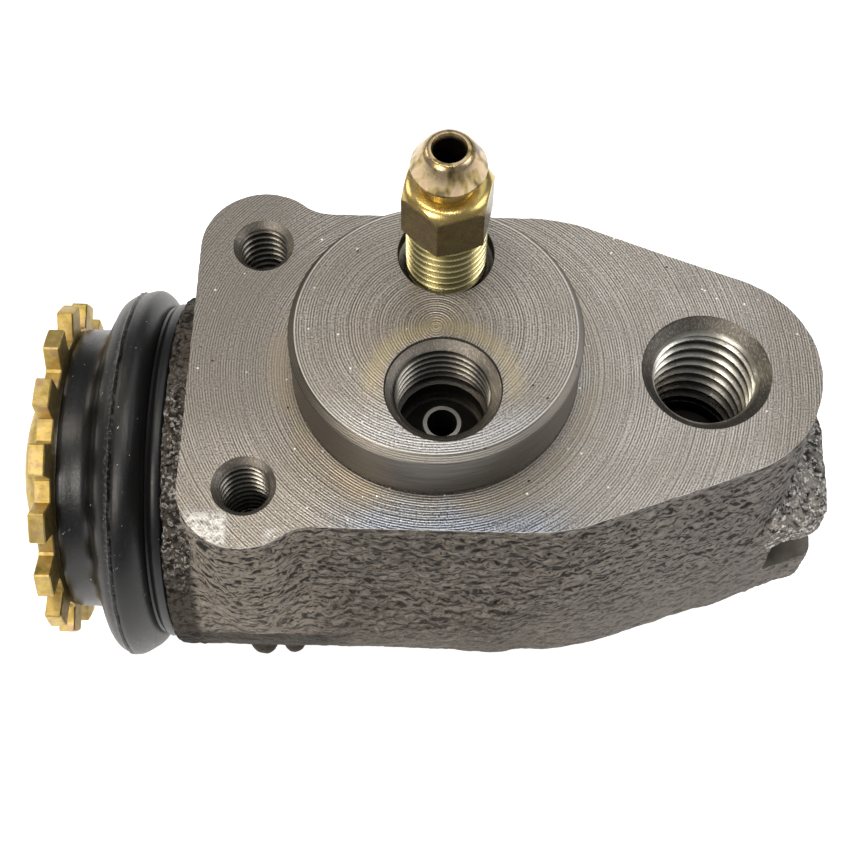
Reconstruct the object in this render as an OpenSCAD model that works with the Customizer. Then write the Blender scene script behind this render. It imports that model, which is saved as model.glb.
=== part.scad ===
// Drum brake wheel cylinder with one piston, a star-wheel adjuster and a fixed shoe fork
// Millimetres. The origin is the centre of the pilot boss on the flange face.
// Z points out of the flange face and X runs along the bore towards the fork.

/* [Flange and boss] */
// distance from the boss centre back to the two small mounting holes
mount_hole_back = 18.4; // [17.5:0.1:20]
// distance between the two small mounting holes
mount_hole_spacing = 28; // [26:0.5:29]
// tapping drill radius of the small mounting holes
mount_drill_r = 2.5; // [2.1:0.05:2.8]
// depth of the small mounting holes
mount_hole_depth = 12.5; // [8:0.5:13]
// bevel at the mouths of the small mounting holes
mount_hole_bevel = 0.7; // [0.3:0.1:1.2]
// radius of the ears around the small mounting holes
ear_r = 6.55; // [5.5:0.05:7.5]
// depth below the flange face where the ears begin to draw in
ear_drop = 24; // [20:0.5:25]
// depth below the flange face where the ears run into the barrel
ear_foot_drop = 27.5; // [26.5:0.5:31]
// half width of the flange between the ears and the shoulders
flange_half_w = 18.2; // [17:0.1:19]
// radius of the hollow between an ear and the straight edge
ear_hollow_r = 4.8; // [3:0.1:7]
// position of the shoulders along the bore
shoulder_x = 13; // [11:0.5:15]
// radius of the rounded shoulders
shoulder_r = 18; // [8:0.5:24]
// distance from the boss centre to the anchor bolt hole
anchor_x = 27.5; // [26.5:0.1:29]
// tapping drill radius of the anchor bolt hole
anchor_drill_r = 5.1; // [4.2:0.05:5.4]
// depth of the anchor bolt hole
anchor_depth = 18; // [12:0.5:22]
// bevel at the mouth of the anchor bolt hole
anchor_bevel = 1.5; // [0.5:0.1:2]
// radius of the lobe around the anchor bolt hole
lobe_r = 11.75; // [10.5:0.05:12.5]
// radius of the pilot boss
boss_r = 14.5; // [13.8:0.1:15.5]
// height of the pilot boss above the flange face
boss_h = 7.6; // [6:0.1:9]
// bevel on the rim of the pilot boss
boss_bevel = 0.6; // [0.2:0.05:1]

/* [Ports] */
// offset of the two ports along the bore
port_x = 0.8; // [0:0.1:1.2]
// distance of the inlet port from the bore's middle plane
inlet_y = 6.8; // [6.4:0.1:7.2]
// tapping drill radius of the inlet port
inlet_drill_r = 4.5; // [4:0.05:4.8]
// length of the inlet port's thread from the boss face
inlet_thread_len = 6.7; // [6:0.1:7]
// depth of the inlet port from the boss face
inlet_depth = 9.8; // [9:0.1:10.5]
// bevel at the mouth of the inlet port
inlet_bevel = 1.2; // [0.5:0.1:1.5]
// outer radius of the flare seat's nose
seat_nose_r = 1.9; // [1.75:0.05:2.2]
// height of the flare seat's cone
seat_cone_h = 2.6; // [2:0.1:3]
// radius of the flare seat's pressed shank
seat_shank_r = 2.5; // [2.2:0.05:3]
// length of the flare seat's pressed shank
seat_shank_len = 3.5; // [2:0.1:4.5]
// radius of the drilled fluid passages
passage_r = 1.5; // [1.1:0.05:1.6]
// distance of the bleeder from the bore's middle plane
bleeder_y = 8.5; // [8.2:0.1:8.8]
// radius of the bleeder's thread
bleeder_r = 4; // [3.6:0.05:4.3]
// radius of the relief around the bleeder at the boss face
bleeder_relief_r = 4.75; // [4.6:0.05:5.2]
// depth of the relief around the bleeder
bleeder_relief_h = 1.6; // [0.6:0.1:2]
// length of the bleeder's thread below the boss face
bleeder_thread_len = 8; // [6:0.1:8.5]
// radius of the bleeder's plain end
bleeder_end_r = 3; // [2.7:0.05:3.2]
// length of the bleeder's plain end above its cone
bleeder_end_len = 3; // [2:0.1:3.5]
// height of the hexagon above the boss face
bleeder_hex_z = 5.7; // [4.5:0.1:7]
// turn of the hexagon's first corner
bleeder_hex_turn = 18; // [0:1:59]
// width across the flats of the hexagon
bleeder_hex_af = 8; // [7.6:0.1:8.6]
// length of the hexagon
bleeder_hex_h = 6.4; // [5:0.1:7]
// radius of the neck under the nipple
nipple_neck_r = 2.55; // [2.3:0.05:2.9]
// length of the neck under the nipple
nipple_neck_len = 1.6; // [1:0.1:2.5]
// largest radius of the nipple
nipple_r = 3.45; // [3.1:0.05:3.8]
// length of the nipple
nipple_len = 3.3; // [2.5:0.1:4]
// radius of the nipple's tip
nipple_tip_r = 2.1; // [1.9:0.05:2.4]
// radius of the hole down the bleeder
bleeder_hole_r = 1.45; // [1:0.05:1.6]

/* [Cylinder] */
// depth of the bore's axis below the flange face
bore_drop = 26; // [25.5:0.1:27]
// radius of the bore, for a bore of one and one eighth inches
bore_r = 14.2875; // [14.1:0.0125:14.4]
// position of the bore's closed end
bore_end_x = 6; // [5:0.1:7]
// radius of the cast barrel
barrel_r = 19.8; // [19.3:0.1:20.3]
// thickness of the barrel's closed end
end_wall = 6; // [4.5:0.1:7]
// rounding of the barrel's closed end
end_round = 5.5; // [3:0.1:7]
// length of the barrel that shows behind the flange
barrel_tail = 3.2; // [2.4:0.1:4]
// radius of the machined lip that holds the boot
lip_r = 18.3; // [18:0.05:18.6]
// length of the lip
lip_len = 3.6; // [2.5:0.1:4.2]
// width of the boot groove behind the lip
boot_groove_w = 1.3; // [1:0.1:1.6]
// depth of the boot groove
boot_groove_depth = 0.9; // [0.5:0.05:1.3]
// bevel at the mouth of the bore
mouth_bevel = 1; // [0.4:0.1:1.4]
// height of the two small cast pads on the belly
pad_h = 0.7; // [0.4:0.1:1]
// length of a cast pad along the bore
pad_len = 2.8; // [2:0.1:3.4]
// width of a cast pad around the belly
pad_w = 2.4; // [1.6:0.1:3]
// position of the first cast pad along the bore
pad_x = -19.9; // [-22:0.1:-18]
// distance between the two cast pads
pad_pitch = 3.8; // [3.6:0.1:5]
// angle of the cast pads below the bore's axis
pad_angle = 28; // [20:1:40]

/* [Fork] */
// how far the fork reaches along the bore
fork_x = 44; // [43:0.1:45]
// rounding of the fork's corners
fork_corner_r = 3.4; // [1.5:0.1:4]
// depth of the fork's top below the flange face
fork_top = 17.5; // [16:0.1:19]
// fall of the fork's top towards its tip
fork_top_fall = 1.6; // [1:0.1:3]
// bevel on the upper edge of the fork's tip
fork_nose = 1; // [0.4:0.1:2]
// depth of the fork's underside below the flange face
fork_bottom = 35.7; // [34:0.1:37]
// rounding of the lower edges of the block and the fork
under_edge_r = 3.1; // [2:0.1:5.5]
// width of the slot for the brake shoe's web
shoe_slot_w = 5.5; // [4.6:0.1:6.5]
// depth of the slot from the fork's tip
shoe_slot_depth = 6; // [5:0.1:7]

/* [Piston and seal] */
// radial running clearance of moving pieces
running_gap = 0.05; // [0.02:0.01:0.08]
// position of the piston's outer face
piston_face_x = -40.5; // [-41.4:0.1:-40]
// length of the piston
piston_len = 31.5; // [29.4:0.1:32.4]
// radius of the adjuster nut's shank in the piston
nut_r = 9; // [8.5:0.1:9.5]
// length of the adjuster nut's shank
nut_len = 18; // [15:0.5:20]
// distance from the piston's face to its boot groove
piston_groove_in = 1.2; // [0.8:0.1:1.6]
// width of the piston's boot groove
piston_groove_w = 1.8; // [1.4:0.1:2.2]
// depth of the piston's boot groove
piston_groove_depth = 1.1; // [0.6:0.1:1.6]
// length of the rubber cup
cup_len = 6; // [5:0.1:6.5]
// thickness of the rubber cup's lip
cup_lip = 2; // [1.6:0.1:2.6]
// thickness of the rubber cup's base
cup_base = 2.6; // [2:0.1:3.2]
// radius of the spring's wire
spring_wire_r = 0.6; // [0.4:0.05:0.8]
// middle radius of the spring's coils
spring_r = 10.5; // [9.5:0.1:11]
// number of turns of the spring
spring_turns = 4; // [3:0.5:6]

/* [Boot] */
// rise of the boot's bulge above the machined lip
boot_bulge_rise = 2.6; // [2.3:0.1:3.2]
// length of the boot's bulge
boot_bulge_len = 6.1; // [5.8:0.1:6.6]
// thickness of the boot's wall
boot_wall = 1.6; // [1.3:0.1:1.8]
// outer radius of the boot's neck
boot_neck_r = 16; // [15.8:0.1:16.4]
// gap between the boot's neck and the star wheel
boot_neck_gap = 0.4; // [0.3:0.05:0.7]
// outer radius of the boot's bead
boot_bead_r = 19.1; // [18.8:0.1:19.4]

/* [Adjuster] */
// number of teeth on the star wheel
star_teeth = 16; // [12:1:18]
// radius of the star wheel's tips
star_r = 19; // [18.4:0.1:19.8]
// radius of the star wheel between its teeth
star_root_r = 16; // [15.6:0.1:16.8]
// width of a tooth
star_tooth_w = 3.3; // [2.6:0.1:3.8]
// thickness of the star wheel
star_t = 1.8; // [1.4:0.1:2.2]
// turn of the star wheel's first tooth
star_phase = 1; // [0:1:22]
// radius of the adjuster screw's shank
screw_r = 6; // [5.5:0.1:6.4]
// length of the adjuster screw's shank
screw_len = 19; // [15:0.5:20]
// radius of the adjuster screw's head
screw_head_r = 9; // [8.5:0.1:10]
// thickness of the adjuster screw's head
screw_head_t = 3.4; // [3:0.1:4.2]
// depth of the slot in the adjuster screw's head
screw_slot_depth = 2.4; // [1.6:0.1:2.6]
// axial gap between pieces that turn against each other
turning_gap = 0.3; // [0.2:0.05:0.4]

/* [Hidden] */
$fn = 96;
cut = 0.1;
ear_hollow_bite = 0.05;
edge_bite = 0.05;
reach = 100;
drill_point = 0.6;
pocket_step = 0.2;
part_gap = 0.3;
rubber_gap = 0.05;
hex_bevel = 1.6;
cross_hole_r = 0.9;
ear_y = mount_hole_spacing / 2;
ear_reach = ear_y + ear_r + part_gap;
flange_back = mount_hole_back + ear_r;
ear_hollow_dy = flange_half_w + ear_hollow_r - ear_y;
ear_hollow_dx = sqrt(pow(ear_r + ear_hollow_r, 2) - pow(ear_hollow_dy, 2));
ear_hollow_x = -mount_hole_back + ear_hollow_dx - ear_hollow_bite;
shoulder = [shoulder_x, flange_half_w];
lobe_reach = norm([shoulder_x - anchor_x, flange_half_w]);
lobe_angle = atan2(flange_half_w, shoulder_x - anchor_x) - acos(lobe_r / lobe_reach);
lobe_tangent = [anchor_x + lobe_r * cos(lobe_angle), lobe_r * sin(lobe_angle)];
shoulder_len = shoulder_r * tan((90 - lobe_angle) / 2);
shoulder_start = [shoulder_x - shoulder_len, flange_half_w];
shoulder_end = shoulder + shoulder_len * (lobe_tangent - shoulder) / norm(lobe_tangent - shoulder);
wall_out = [cos(lobe_angle), sin(lobe_angle)];
fork_corner_x = fork_x - fork_corner_r;
fork_corner_y = (lobe_r - fork_corner_r - wall_out[0] * (fork_corner_x - anchor_x)) / wall_out[1];
fork_corner = [fork_corner_x, fork_corner_y];
fork_wall_end = fork_corner + fork_corner_r * wall_out;
barrel_x = -flange_back - barrel_tail;
groove_x = barrel_x - boot_groove_w;
mouth_x = groove_x - lip_len;
inlet_floor_z = boss_h - inlet_depth;
seat_nose_z = inlet_floor_z + seat_cone_h;
inlet_pocket_r = inlet_drill_r - pocket_step;
seat_base_r = inlet_pocket_r - part_gap;
bleeder_thread_z = boss_h - bleeder_thread_len;
bleeder_cone_z = bleeder_thread_z - bleeder_end_len;
bleeder_tip_r = 0.8;
bleeder_tip_z = bleeder_cone_z - (bleeder_end_r - bleeder_tip_r);
bleeder_pocket_r = bleeder_end_r + part_gap;
seat_gap = running_gap * sqrt(2);
hex_z = boss_h + bleeder_hex_z;
neck_z = hex_z + bleeder_hex_h;
nipple_z = neck_z + nipple_neck_len;
piston_r = bore_r - running_gap;
piston_end_x = piston_face_x + piston_len;
nut_bore_r = nut_r + running_gap;
nut_bore_end_x = piston_face_x + nut_len + 1;
cup_r = bore_r - running_gap;
cup_end_x = piston_end_x + cup_len;
spring_start_x = piston_end_x + cup_base;
boot_neck_x = piston_face_x + boot_neck_gap;
boot_bulge_x = groove_x - boot_bulge_len;
boot_bore_r = piston_r + rubber_gap;
boot_lip_r = lip_r + rubber_gap;
boot_bulge_r = lip_r + boot_bulge_rise;
star_x = piston_face_x - star_t;
head_x = star_x - turning_gap - screw_head_t;
screw_slot_w = shoe_slot_w - 0.5;

// Places its children with their own Z along the bore's axis
module along_bore() {
    translate([0, 0, -bore_drop])
        rotate([0, 90, 0])
            children();
}

// Round bar along the bore between two positions
module bar(r, from_x, to_x) {
    along_bore()
        translate([0, 0, from_x])
            cylinder(r = r, h = to_x - from_x);
}

// Tapped hole with a bevelled mouth and a drill point, down from the given height
module tapped_hole(drill_r, depth, bevel) {
    translate([0, 0, -depth])
        cylinder(r = drill_r, h = depth + cut);
    translate([0, 0, -bevel])
        cylinder(r1 = drill_r, r2 = drill_r + bevel + cut, h = bevel + cut);
    translate([0, 0, -depth - drill_r * drill_point])
        cylinder(r1 = 0, r2 = drill_r, h = drill_r * drill_point);
}

// One half of the flange's outline, with the rounded shoulder and the hollow beside the ear
module half_outline() {
    polygon([[-flange_back, -1], [-flange_back, ear_y], [-mount_hole_back, ear_y],
        [-mount_hole_back, flange_half_w], shoulder_start, shoulder_end, lobe_tangent, [anchor_x, -1]]);
    translate([anchor_x, 0])
        circle(r = lobe_r);
    intersection() {
        translate([shoulder_start[0], flange_half_w - shoulder_r])
            circle(r = shoulder_r);
        polygon([[shoulder_start[0], flange_half_w - shoulder_r], shoulder_start, shoulder, shoulder_end]);
    }
    difference() {
        union() {
            translate([-mount_hole_back, ear_y])
                circle(r = ear_r);
            polygon([[-mount_hole_back, ear_y], [ear_hollow_x, ear_y + ear_hollow_dy],
                [ear_hollow_x, flange_half_w - 1]]);
        }
        translate([ear_hollow_x, ear_y + ear_hollow_dy])
            circle(r = ear_hollow_r);
    }
}

module flange_outline() {
    half_outline();
    mirror([0, 1])
        half_outline();
}

// Cast block under the flange, drawn in to the barrel below the ears
module flange_block() {
    intersection() {
        translate([0, 0, -bore_drop - barrel_r])
            linear_extrude(height = bore_drop + barrel_r)
                flange_outline();
        translate([-flange_back - 1, 0, 0])
            rotate([90, 0, 90])
                linear_extrude(height = flange_back + bore_end_x + 1)
                    polygon([[-ear_reach, 1], [-ear_reach, -ear_drop], [1 - barrel_r, -ear_foot_drop],
                        [barrel_r - 1, -ear_foot_drop], [ear_reach, -ear_drop], [ear_reach, 1]]);
    }
    intersection() {
        translate([0, 0, -fork_bottom])
            linear_extrude(height = fork_bottom)
                flange_outline();
        rounded_underside();
    }
}

// Section with a wall at zero and a rounded lower edge
module edge_section() {
    translate([-reach, -fork_bottom])
        square([reach - under_edge_r, fork_bottom + 1]);
    translate([-reach, under_edge_r - fork_bottom])
        square([reach, fork_bottom - under_edge_r + 1]);
    translate([-under_edge_r, under_edge_r - fork_bottom])
        circle(r = under_edge_r);
}

// The same section run along a wall that faces the given way from a point
module edge_run(point, facing, distance) {
    translate(point)
        rotate([0, 0, facing])
            translate([distance + edge_bite, reach / 2, 0])
                rotate([90, 0, 0])
                    linear_extrude(height = reach)
                        edge_section();
}

// Room that rounds the lower edges of the block and the fork, from the bore's end to the tip
module rounded_underside() {
    intersection() {
        edge_run([anchor_x, 0, 0], lobe_angle, lobe_r);
        edge_run([anchor_x, 0, 0], -lobe_angle, lobe_r);
        edge_run([0, 0, 0], 90, flange_half_w);
        edge_run([0, 0, 0], -90, flange_half_w);
        edge_run([0, 0, 0], 0, fork_x);
        translate([bore_end_x - 4, -reach / 2, -reach])
            cube([reach, reach, reach]);
    }
}

// Cast barrel with its rounded closed end and the machined lip for the boot
module barrel() {
    along_bore()
        rotate_extrude() {
            translate([0, barrel_x])
                square([barrel_r, bore_end_x + end_wall - end_round - barrel_x]);
            translate([0, bore_end_x])
                square([barrel_r - end_round, end_wall]);
            translate([barrel_r - end_round, bore_end_x + end_wall - end_round])
                circle(r = end_round);
            translate([0, mouth_x])
                square([lip_r - boot_groove_depth, barrel_x - mouth_x + 1]);
            translate([0, mouth_x])
                square([lip_r, lip_len]);
        }
}

// One half of the fork's outline: the flange's slanted wall carried on to a rounded tip
module half_fork_outline() {
    polygon([[anchor_x, -1], lobe_tangent, fork_wall_end, fork_corner, [fork_x, fork_corner_y], [fork_x, -1]]);
    translate(fork_corner)
        circle(r = fork_corner_r);
}

// Fixed fork that takes the web of the anchored brake shoe
module fork() {
    intersection() {
        translate([0, 0, -fork_bottom])
            linear_extrude(height = fork_bottom) {
                half_fork_outline();
                mirror([0, 1])
                    half_fork_outline();
            }
        translate([0, flange_half_w, 0])
            rotate([90, 0, 0])
                linear_extrude(height = 2 * flange_half_w)
                    polygon([[anchor_x - 1, -fork_top], [anchor_x + lobe_r, -fork_top],
                        [fork_x - fork_nose, -fork_top - fork_top_fall],
                        [fork_x + 1, -fork_top - fork_top_fall - fork_nose - 1],
                        [fork_x + 1, -fork_bottom - 1], [anchor_x - 1, -fork_bottom - 1]]);
        rounded_underside();
    }
}

// Two low cast pads on the near side of the belly
module belly_pads() {
    for (step = [0, 1])
        translate([pad_x + step * pad_pitch, 0, -bore_drop])
            rotate([pad_angle, 0, 0])
                translate([0, -barrel_r - pad_h, -pad_w / 2])
                    cube([pad_len, pad_h + 2, pad_w]);
}

module cylinder_body() {
    color([0.42, 0.4, 0.38])
    difference() {
        union() {
            flange_block();
            barrel();
            fork();
            belly_pads();
            translate([0, 0, -1])
                cylinder(r = boss_r, h = boss_h + 1 - boss_bevel);
            translate([0, 0, boss_h - boss_bevel])
                cylinder(r1 = boss_r, r2 = boss_r - boss_bevel, h = boss_bevel);
        }
        bar(bore_r, mouth_x - cut, bore_end_x);
        along_bore()
            translate([0, 0, mouth_x - cut])
                cylinder(r1 = bore_r + mouth_bevel + cut, r2 = bore_r, h = mouth_bevel + cut);
        translate([fork_x - shoe_slot_depth, -flange_half_w, -bore_drop - shoe_slot_w / 2])
            cube([shoe_slot_depth + 1, 2 * flange_half_w, shoe_slot_w]);
        for (side = [-1, 1])
            translate([-mount_hole_back, side * ear_y, 0])
                tapped_hole(mount_drill_r, mount_hole_depth, mount_hole_bevel);
        translate([anchor_x, 0, 0])
            tapped_hole(anchor_drill_r, anchor_depth, anchor_bevel);
        inlet_port();
        bleeder_port();
    }
}

// Inlet port: thread, pocket for the flare seat, shank hole and passage to the bore
module inlet_port() {
    translate([port_x, -inlet_y, 0]) {
        translate([0, 0, boss_h - inlet_thread_len])
            cylinder(r = inlet_drill_r, h = inlet_thread_len + cut);
        translate([0, 0, inlet_floor_z])
            cylinder(r = inlet_pocket_r, h = inlet_depth - inlet_thread_len + cut);
        translate([0, 0, boss_h - inlet_bevel])
            cylinder(r1 = inlet_drill_r, r2 = inlet_drill_r + inlet_bevel + cut, h = inlet_bevel + cut);
        translate([0, 0, inlet_floor_z - seat_shank_len])
            cylinder(r = seat_shank_r, h = seat_shank_len + cut);
        translate([0, 0, -bore_drop])
            cylinder(r = passage_r, h = bore_drop);
    }
}

// Bleeder port: relief, thread, pocket, cone seat and passage to the bore
module bleeder_port() {
    translate([port_x, bleeder_y, 0]) {
        translate([0, 0, bleeder_thread_z - 0.5])
            cylinder(r = bleeder_r + running_gap, h = bleeder_thread_len + 0.5 + cut);
        translate([0, 0, boss_h - bleeder_relief_h])
            cylinder(r = bleeder_relief_r, h = bleeder_relief_h + cut);
        translate([0, 0, bleeder_cone_z + part_gap - seat_gap])
            cylinder(r = bleeder_pocket_r, h = bleeder_end_len + part_gap + cut);
        translate([0, 0, bleeder_cone_z + part_gap - seat_gap - bleeder_pocket_r])
            cylinder(r1 = 0, r2 = bleeder_pocket_r, h = bleeder_pocket_r);
        translate([0, 0, -bore_drop])
            cylinder(r = passage_r, h = bore_drop + bleeder_cone_z);
    }
}

// Pressed cone that the brake pipe's flare closes on
module inlet_flare_seat() {
    color([0.55, 0.54, 0.52])
    translate([port_x, -inlet_y, inlet_floor_z])
        difference() {
            union() {
                cylinder(r1 = seat_base_r, r2 = seat_nose_r, h = seat_cone_h);
                translate([0, 0, -seat_shank_len])
                    cylinder(r = seat_shank_r, h = seat_shank_len + cut);
            }
            translate([0, 0, -seat_shank_len - cut])
                cylinder(r = passage_r, h = seat_shank_len + seat_cone_h + 2 * cut);
        }
}

module bleeder_screw() {
    color([0.72, 0.6, 0.32])
    translate([port_x, bleeder_y, 0])
        difference() {
            union() {
                translate([0, 0, bleeder_thread_z])
                    cylinder(r = bleeder_r, h = hex_z - bleeder_thread_z);
                translate([0, 0, bleeder_cone_z])
                    cylinder(r = bleeder_end_r, h = bleeder_end_len + cut);
                translate([0, 0, bleeder_tip_z])
                    cylinder(r1 = bleeder_tip_r, r2 = bleeder_end_r, h = bleeder_cone_z - bleeder_tip_z);
                bleeder_hexagon();
                translate([0, 0, neck_z - 0.5])
                    cylinder(r = nipple_neck_r, h = nipple_neck_len + 1);
                nipple();
            }
            translate([0, 0, bleeder_cone_z + 1.2])
                cylinder(r = bleeder_hole_r, h = nipple_z + nipple_len - bleeder_cone_z);
            translate([-5, 0, bleeder_cone_z + 1.6])
                rotate([0, 90, 0])
                    cylinder(r = cross_hole_r, h = 10);
        }
}

module bleeder_hexagon() {
    intersection() {
        translate([0, 0, hex_z])
            rotate([0, 0, bleeder_hex_turn])
                cylinder(r = bleeder_hex_af / sqrt(3), h = bleeder_hex_h, $fn = 6);
        union() {
            translate([0, 0, hex_z])
                cylinder(r = bleeder_hex_af, h = bleeder_hex_h - hex_bevel);
            translate([0, 0, neck_z - hex_bevel - cut])
                cylinder(r1 = bleeder_hex_af / 2 + 1.2, r2 = bleeder_hex_af / 2 - 0.5, h = hex_bevel + cut);
        }
    }
}

module nipple() {
    translate([0, 0, nipple_z])
        rotate_extrude()
            polygon([[0, -0.2], [nipple_neck_r, -0.2], [nipple_r, 0.6], [nipple_r, 1.2],
                [nipple_tip_r + 0.3, nipple_len - 0.3], [nipple_tip_r, nipple_len], [0, nipple_len]]);
}

// Round wire wound between the cup and the closed end of the bore
module cup_spring() {
    steps = 24;
    sides = 8;
    count = floor(spring_turns * steps);
    start_x = spring_start_x + spring_wire_r;
    run = bore_end_x - spring_wire_r - start_x;
    points = [for (i = [0:count]) for (j = [0:sides - 1])
        let (turn = 360 * i / steps, around = 360 * j / sides)
        [(spring_r + spring_wire_r * cos(around)) * cos(turn),
            (spring_r + spring_wire_r * cos(around)) * sin(turn),
            start_x + run * i / count + spring_wire_r * sin(around)]];
    walls = [for (i = [0:count - 1]) for (j = [0:sides - 1])
        [i * sides + j, i * sides + (j + 1) % sides, (i + 1) * sides + (j + 1) % sides, (i + 1) * sides + j]];
    first = [[for (j = [0:sides - 1]) sides - 1 - j]];
    last = [[for (j = [0:sides - 1]) count * sides + j]];
    color([0.6, 0.6, 0.62])
    along_bore()
        polyhedron(points = points, faces = concat(walls, first, last));
}

// Rubber cup that seals the bore, open towards the fluid
module piston_cup() {
    color([0.08, 0.08, 0.08])
    along_bore()
        rotate_extrude()
            polygon([[0, piston_end_x], [cup_r - 0.6, piston_end_x], [cup_r - 0.3, piston_end_x + cup_base],
                [cup_r, cup_end_x], [cup_r - cup_lip + 0.8, cup_end_x],
                [cup_r - cup_lip, piston_end_x + cup_base], [0, piston_end_x + cup_base]]);
}

module piston() {
    color([0.62, 0.62, 0.64])
    difference() {
        bar(piston_r, piston_face_x, piston_end_x);
        bar(nut_bore_r, piston_face_x - cut, nut_bore_end_x);
        along_bore()
            translate([0, 0, piston_face_x + piston_groove_in])
                difference() {
                    cylinder(r = piston_r + 1, h = piston_groove_w);
                    translate([0, 0, -cut])
                        cylinder(r = piston_r - piston_groove_depth, h = piston_groove_w + 2 * cut);
                }
    }
}

// Rubber boot from the groove on the barrel over its lip to the groove on the piston
module dust_boot() {
    bulge_mid = boot_bulge_len / 2;
    bulge_c = boot_bulge_r - bulge_mid;
    color([0.06, 0.06, 0.065])
    along_bore()
        rotate_extrude() {
            difference() {
                union() {
                    translate([bulge_c, groove_x - bulge_mid])
                        circle(r = bulge_mid);
                    translate([boot_bore_r, boot_bulge_x])
                        square([bulge_c - boot_bore_r, boot_wall]);
                }
                translate([bulge_c, groove_x - bulge_mid])
                    circle(r = bulge_mid - boot_wall);
                translate([0, boot_bulge_x + boot_wall])
                    square([boot_lip_r, boot_bulge_len]);
            }
            translate([boot_lip_r, groove_x - boot_wall])
                square([boot_bead_r - boot_lip_r, boot_groove_w + boot_wall]);
            translate([lip_r - boot_groove_depth, groove_x])
                square([boot_groove_depth + cut, boot_groove_w]);
            translate([boot_bore_r, boot_neck_x])
                square([boot_neck_r - boot_bore_r, boot_bulge_x - boot_neck_x + boot_wall]);
            translate([piston_r - piston_groove_depth, piston_face_x + piston_groove_in])
                square([piston_groove_depth + cut, piston_groove_w]);
        }
}

// Adjuster nut: toothed wheel outside the piston with a threaded shank inside it
module adjuster_star_wheel() {
    color([0.75, 0.6, 0.3])
    along_bore()
        difference() {
            union() {
                translate([0, 0, star_x])
                    cylinder(r = star_root_r, h = star_t);
                intersection() {
                    translate([0, 0, star_x])
                        cylinder(r = star_r, h = star_t);
                    for (tooth = [0:star_teeth - 1])
                        rotate([0, 0, star_phase + tooth * 360 / star_teeth])
                            translate([0, -star_tooth_w / 2, star_x])
                                cube([star_r + 1, star_tooth_w, star_t]);
                }
                translate([0, 0, star_x])
                    cylinder(r = nut_r, h = star_t + nut_len);
            }
            translate([0, 0, star_x - cut])
                cylinder(r = screw_r + running_gap, h = star_t + nut_len + 2 * cut);
        }
}

// Adjuster screw with a domed head, slotted for the web of the moving brake shoe
module adjuster_screw() {
    color([0.76, 0.62, 0.32])
    difference() {
        along_bore() {
            rotate_extrude()
                polygon([[0, head_x], [screw_head_r - 2.6, head_x], [screw_head_r - 0.9, head_x + 0.6],
                    [screw_head_r, head_x + 1.6], [screw_head_r, head_x + screw_head_t], [0, head_x + screw_head_t]]);
            translate([0, 0, head_x + screw_head_t - cut])
                cylinder(r = screw_r, h = screw_len + cut);
        }
        translate([head_x - 1, -screw_head_r - 1, -bore_drop - screw_slot_w / 2])
            cube([screw_slot_depth + 1, 2 * screw_head_r + 2, screw_slot_w]);
    }
}

cylinder_body();
inlet_flare_seat();
bleeder_screw();
cup_spring();
piston_cup();
piston();
dust_boot();
adjuster_star_wheel();
adjuster_screw();
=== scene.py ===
import math
import bmesh
import bpy
import numpy as np
from mathutils import Matrix, Vector, noise


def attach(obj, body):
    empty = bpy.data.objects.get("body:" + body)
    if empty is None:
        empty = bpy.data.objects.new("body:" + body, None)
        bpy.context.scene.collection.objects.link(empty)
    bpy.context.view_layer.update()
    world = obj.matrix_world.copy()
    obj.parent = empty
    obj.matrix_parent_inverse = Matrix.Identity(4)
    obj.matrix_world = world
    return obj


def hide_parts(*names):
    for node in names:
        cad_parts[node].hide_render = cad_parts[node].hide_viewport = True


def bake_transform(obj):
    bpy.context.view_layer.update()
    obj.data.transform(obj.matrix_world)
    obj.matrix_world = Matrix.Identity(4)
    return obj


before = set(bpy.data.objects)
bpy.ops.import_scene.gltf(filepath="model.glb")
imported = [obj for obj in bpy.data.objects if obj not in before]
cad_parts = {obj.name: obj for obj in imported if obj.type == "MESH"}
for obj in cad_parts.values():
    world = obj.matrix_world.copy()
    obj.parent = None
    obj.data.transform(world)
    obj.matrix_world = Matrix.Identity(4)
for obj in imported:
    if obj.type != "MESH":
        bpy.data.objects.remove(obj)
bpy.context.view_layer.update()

# Wheel cylinder: pieces are made in millimetres in the CAD model's frame and scaled to metres at the end
MM = 0.001
BORE_Z = -26.0
BORE_R = 14.2875
BARREL_R, BARREL_BACK, BARREL_END, BARREL_ROUND = 19.8, -28.15, 12.0, 5.5
LIP_R, LIP_BACK, GROOVE_X, GROOVE_R = 18.3, -33.05, -29.45, 17.4
EAR_X, EAR_Y, EAR_R = -18.4, 14.0, 6.55
FLANGE_BACK, FLANGE_HALF = -24.95, 18.2
HOLLOW_R = 4.8
SHOULDER_X, SHOULDER_R = 13.0, 18.0
LOBE_X, LOBE_R = 27.5, 11.75
BOSS_R, BOSS_H = 14.5, 7.6
PORT_X, INLET_Y, BLEEDER_Y = 0.8, -6.8, 8.5
FORK_X, FORK_CORNER, LOW_CORNER = 44.0, 3.4, 1.5
SLOT_X, SLOT_HALF = 38.0, 2.75
EAR_FOOT, BLOCK_FOOT = -24.8, -35.8
WALL_DRAFT = 0.042
STAR_X, STAR_T, STAR_R, STAR_ROOT = -42.3, 1.8, 19.0, 16.0
STAR_TEETH, STAR_PHASE = 16, 1.0
HEAD_X, HEAD_T = -46.0, 3.4
SCREW_R, SCREW_ROOT, SCREW_PITCH, SCREW_LEN = 6.0, 5.35, 1.25, 19.0
BULGE_X, BOOT_SAG = -32.75, (-0.35, -0.45)
RING_PITCH = 0.27
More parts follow.
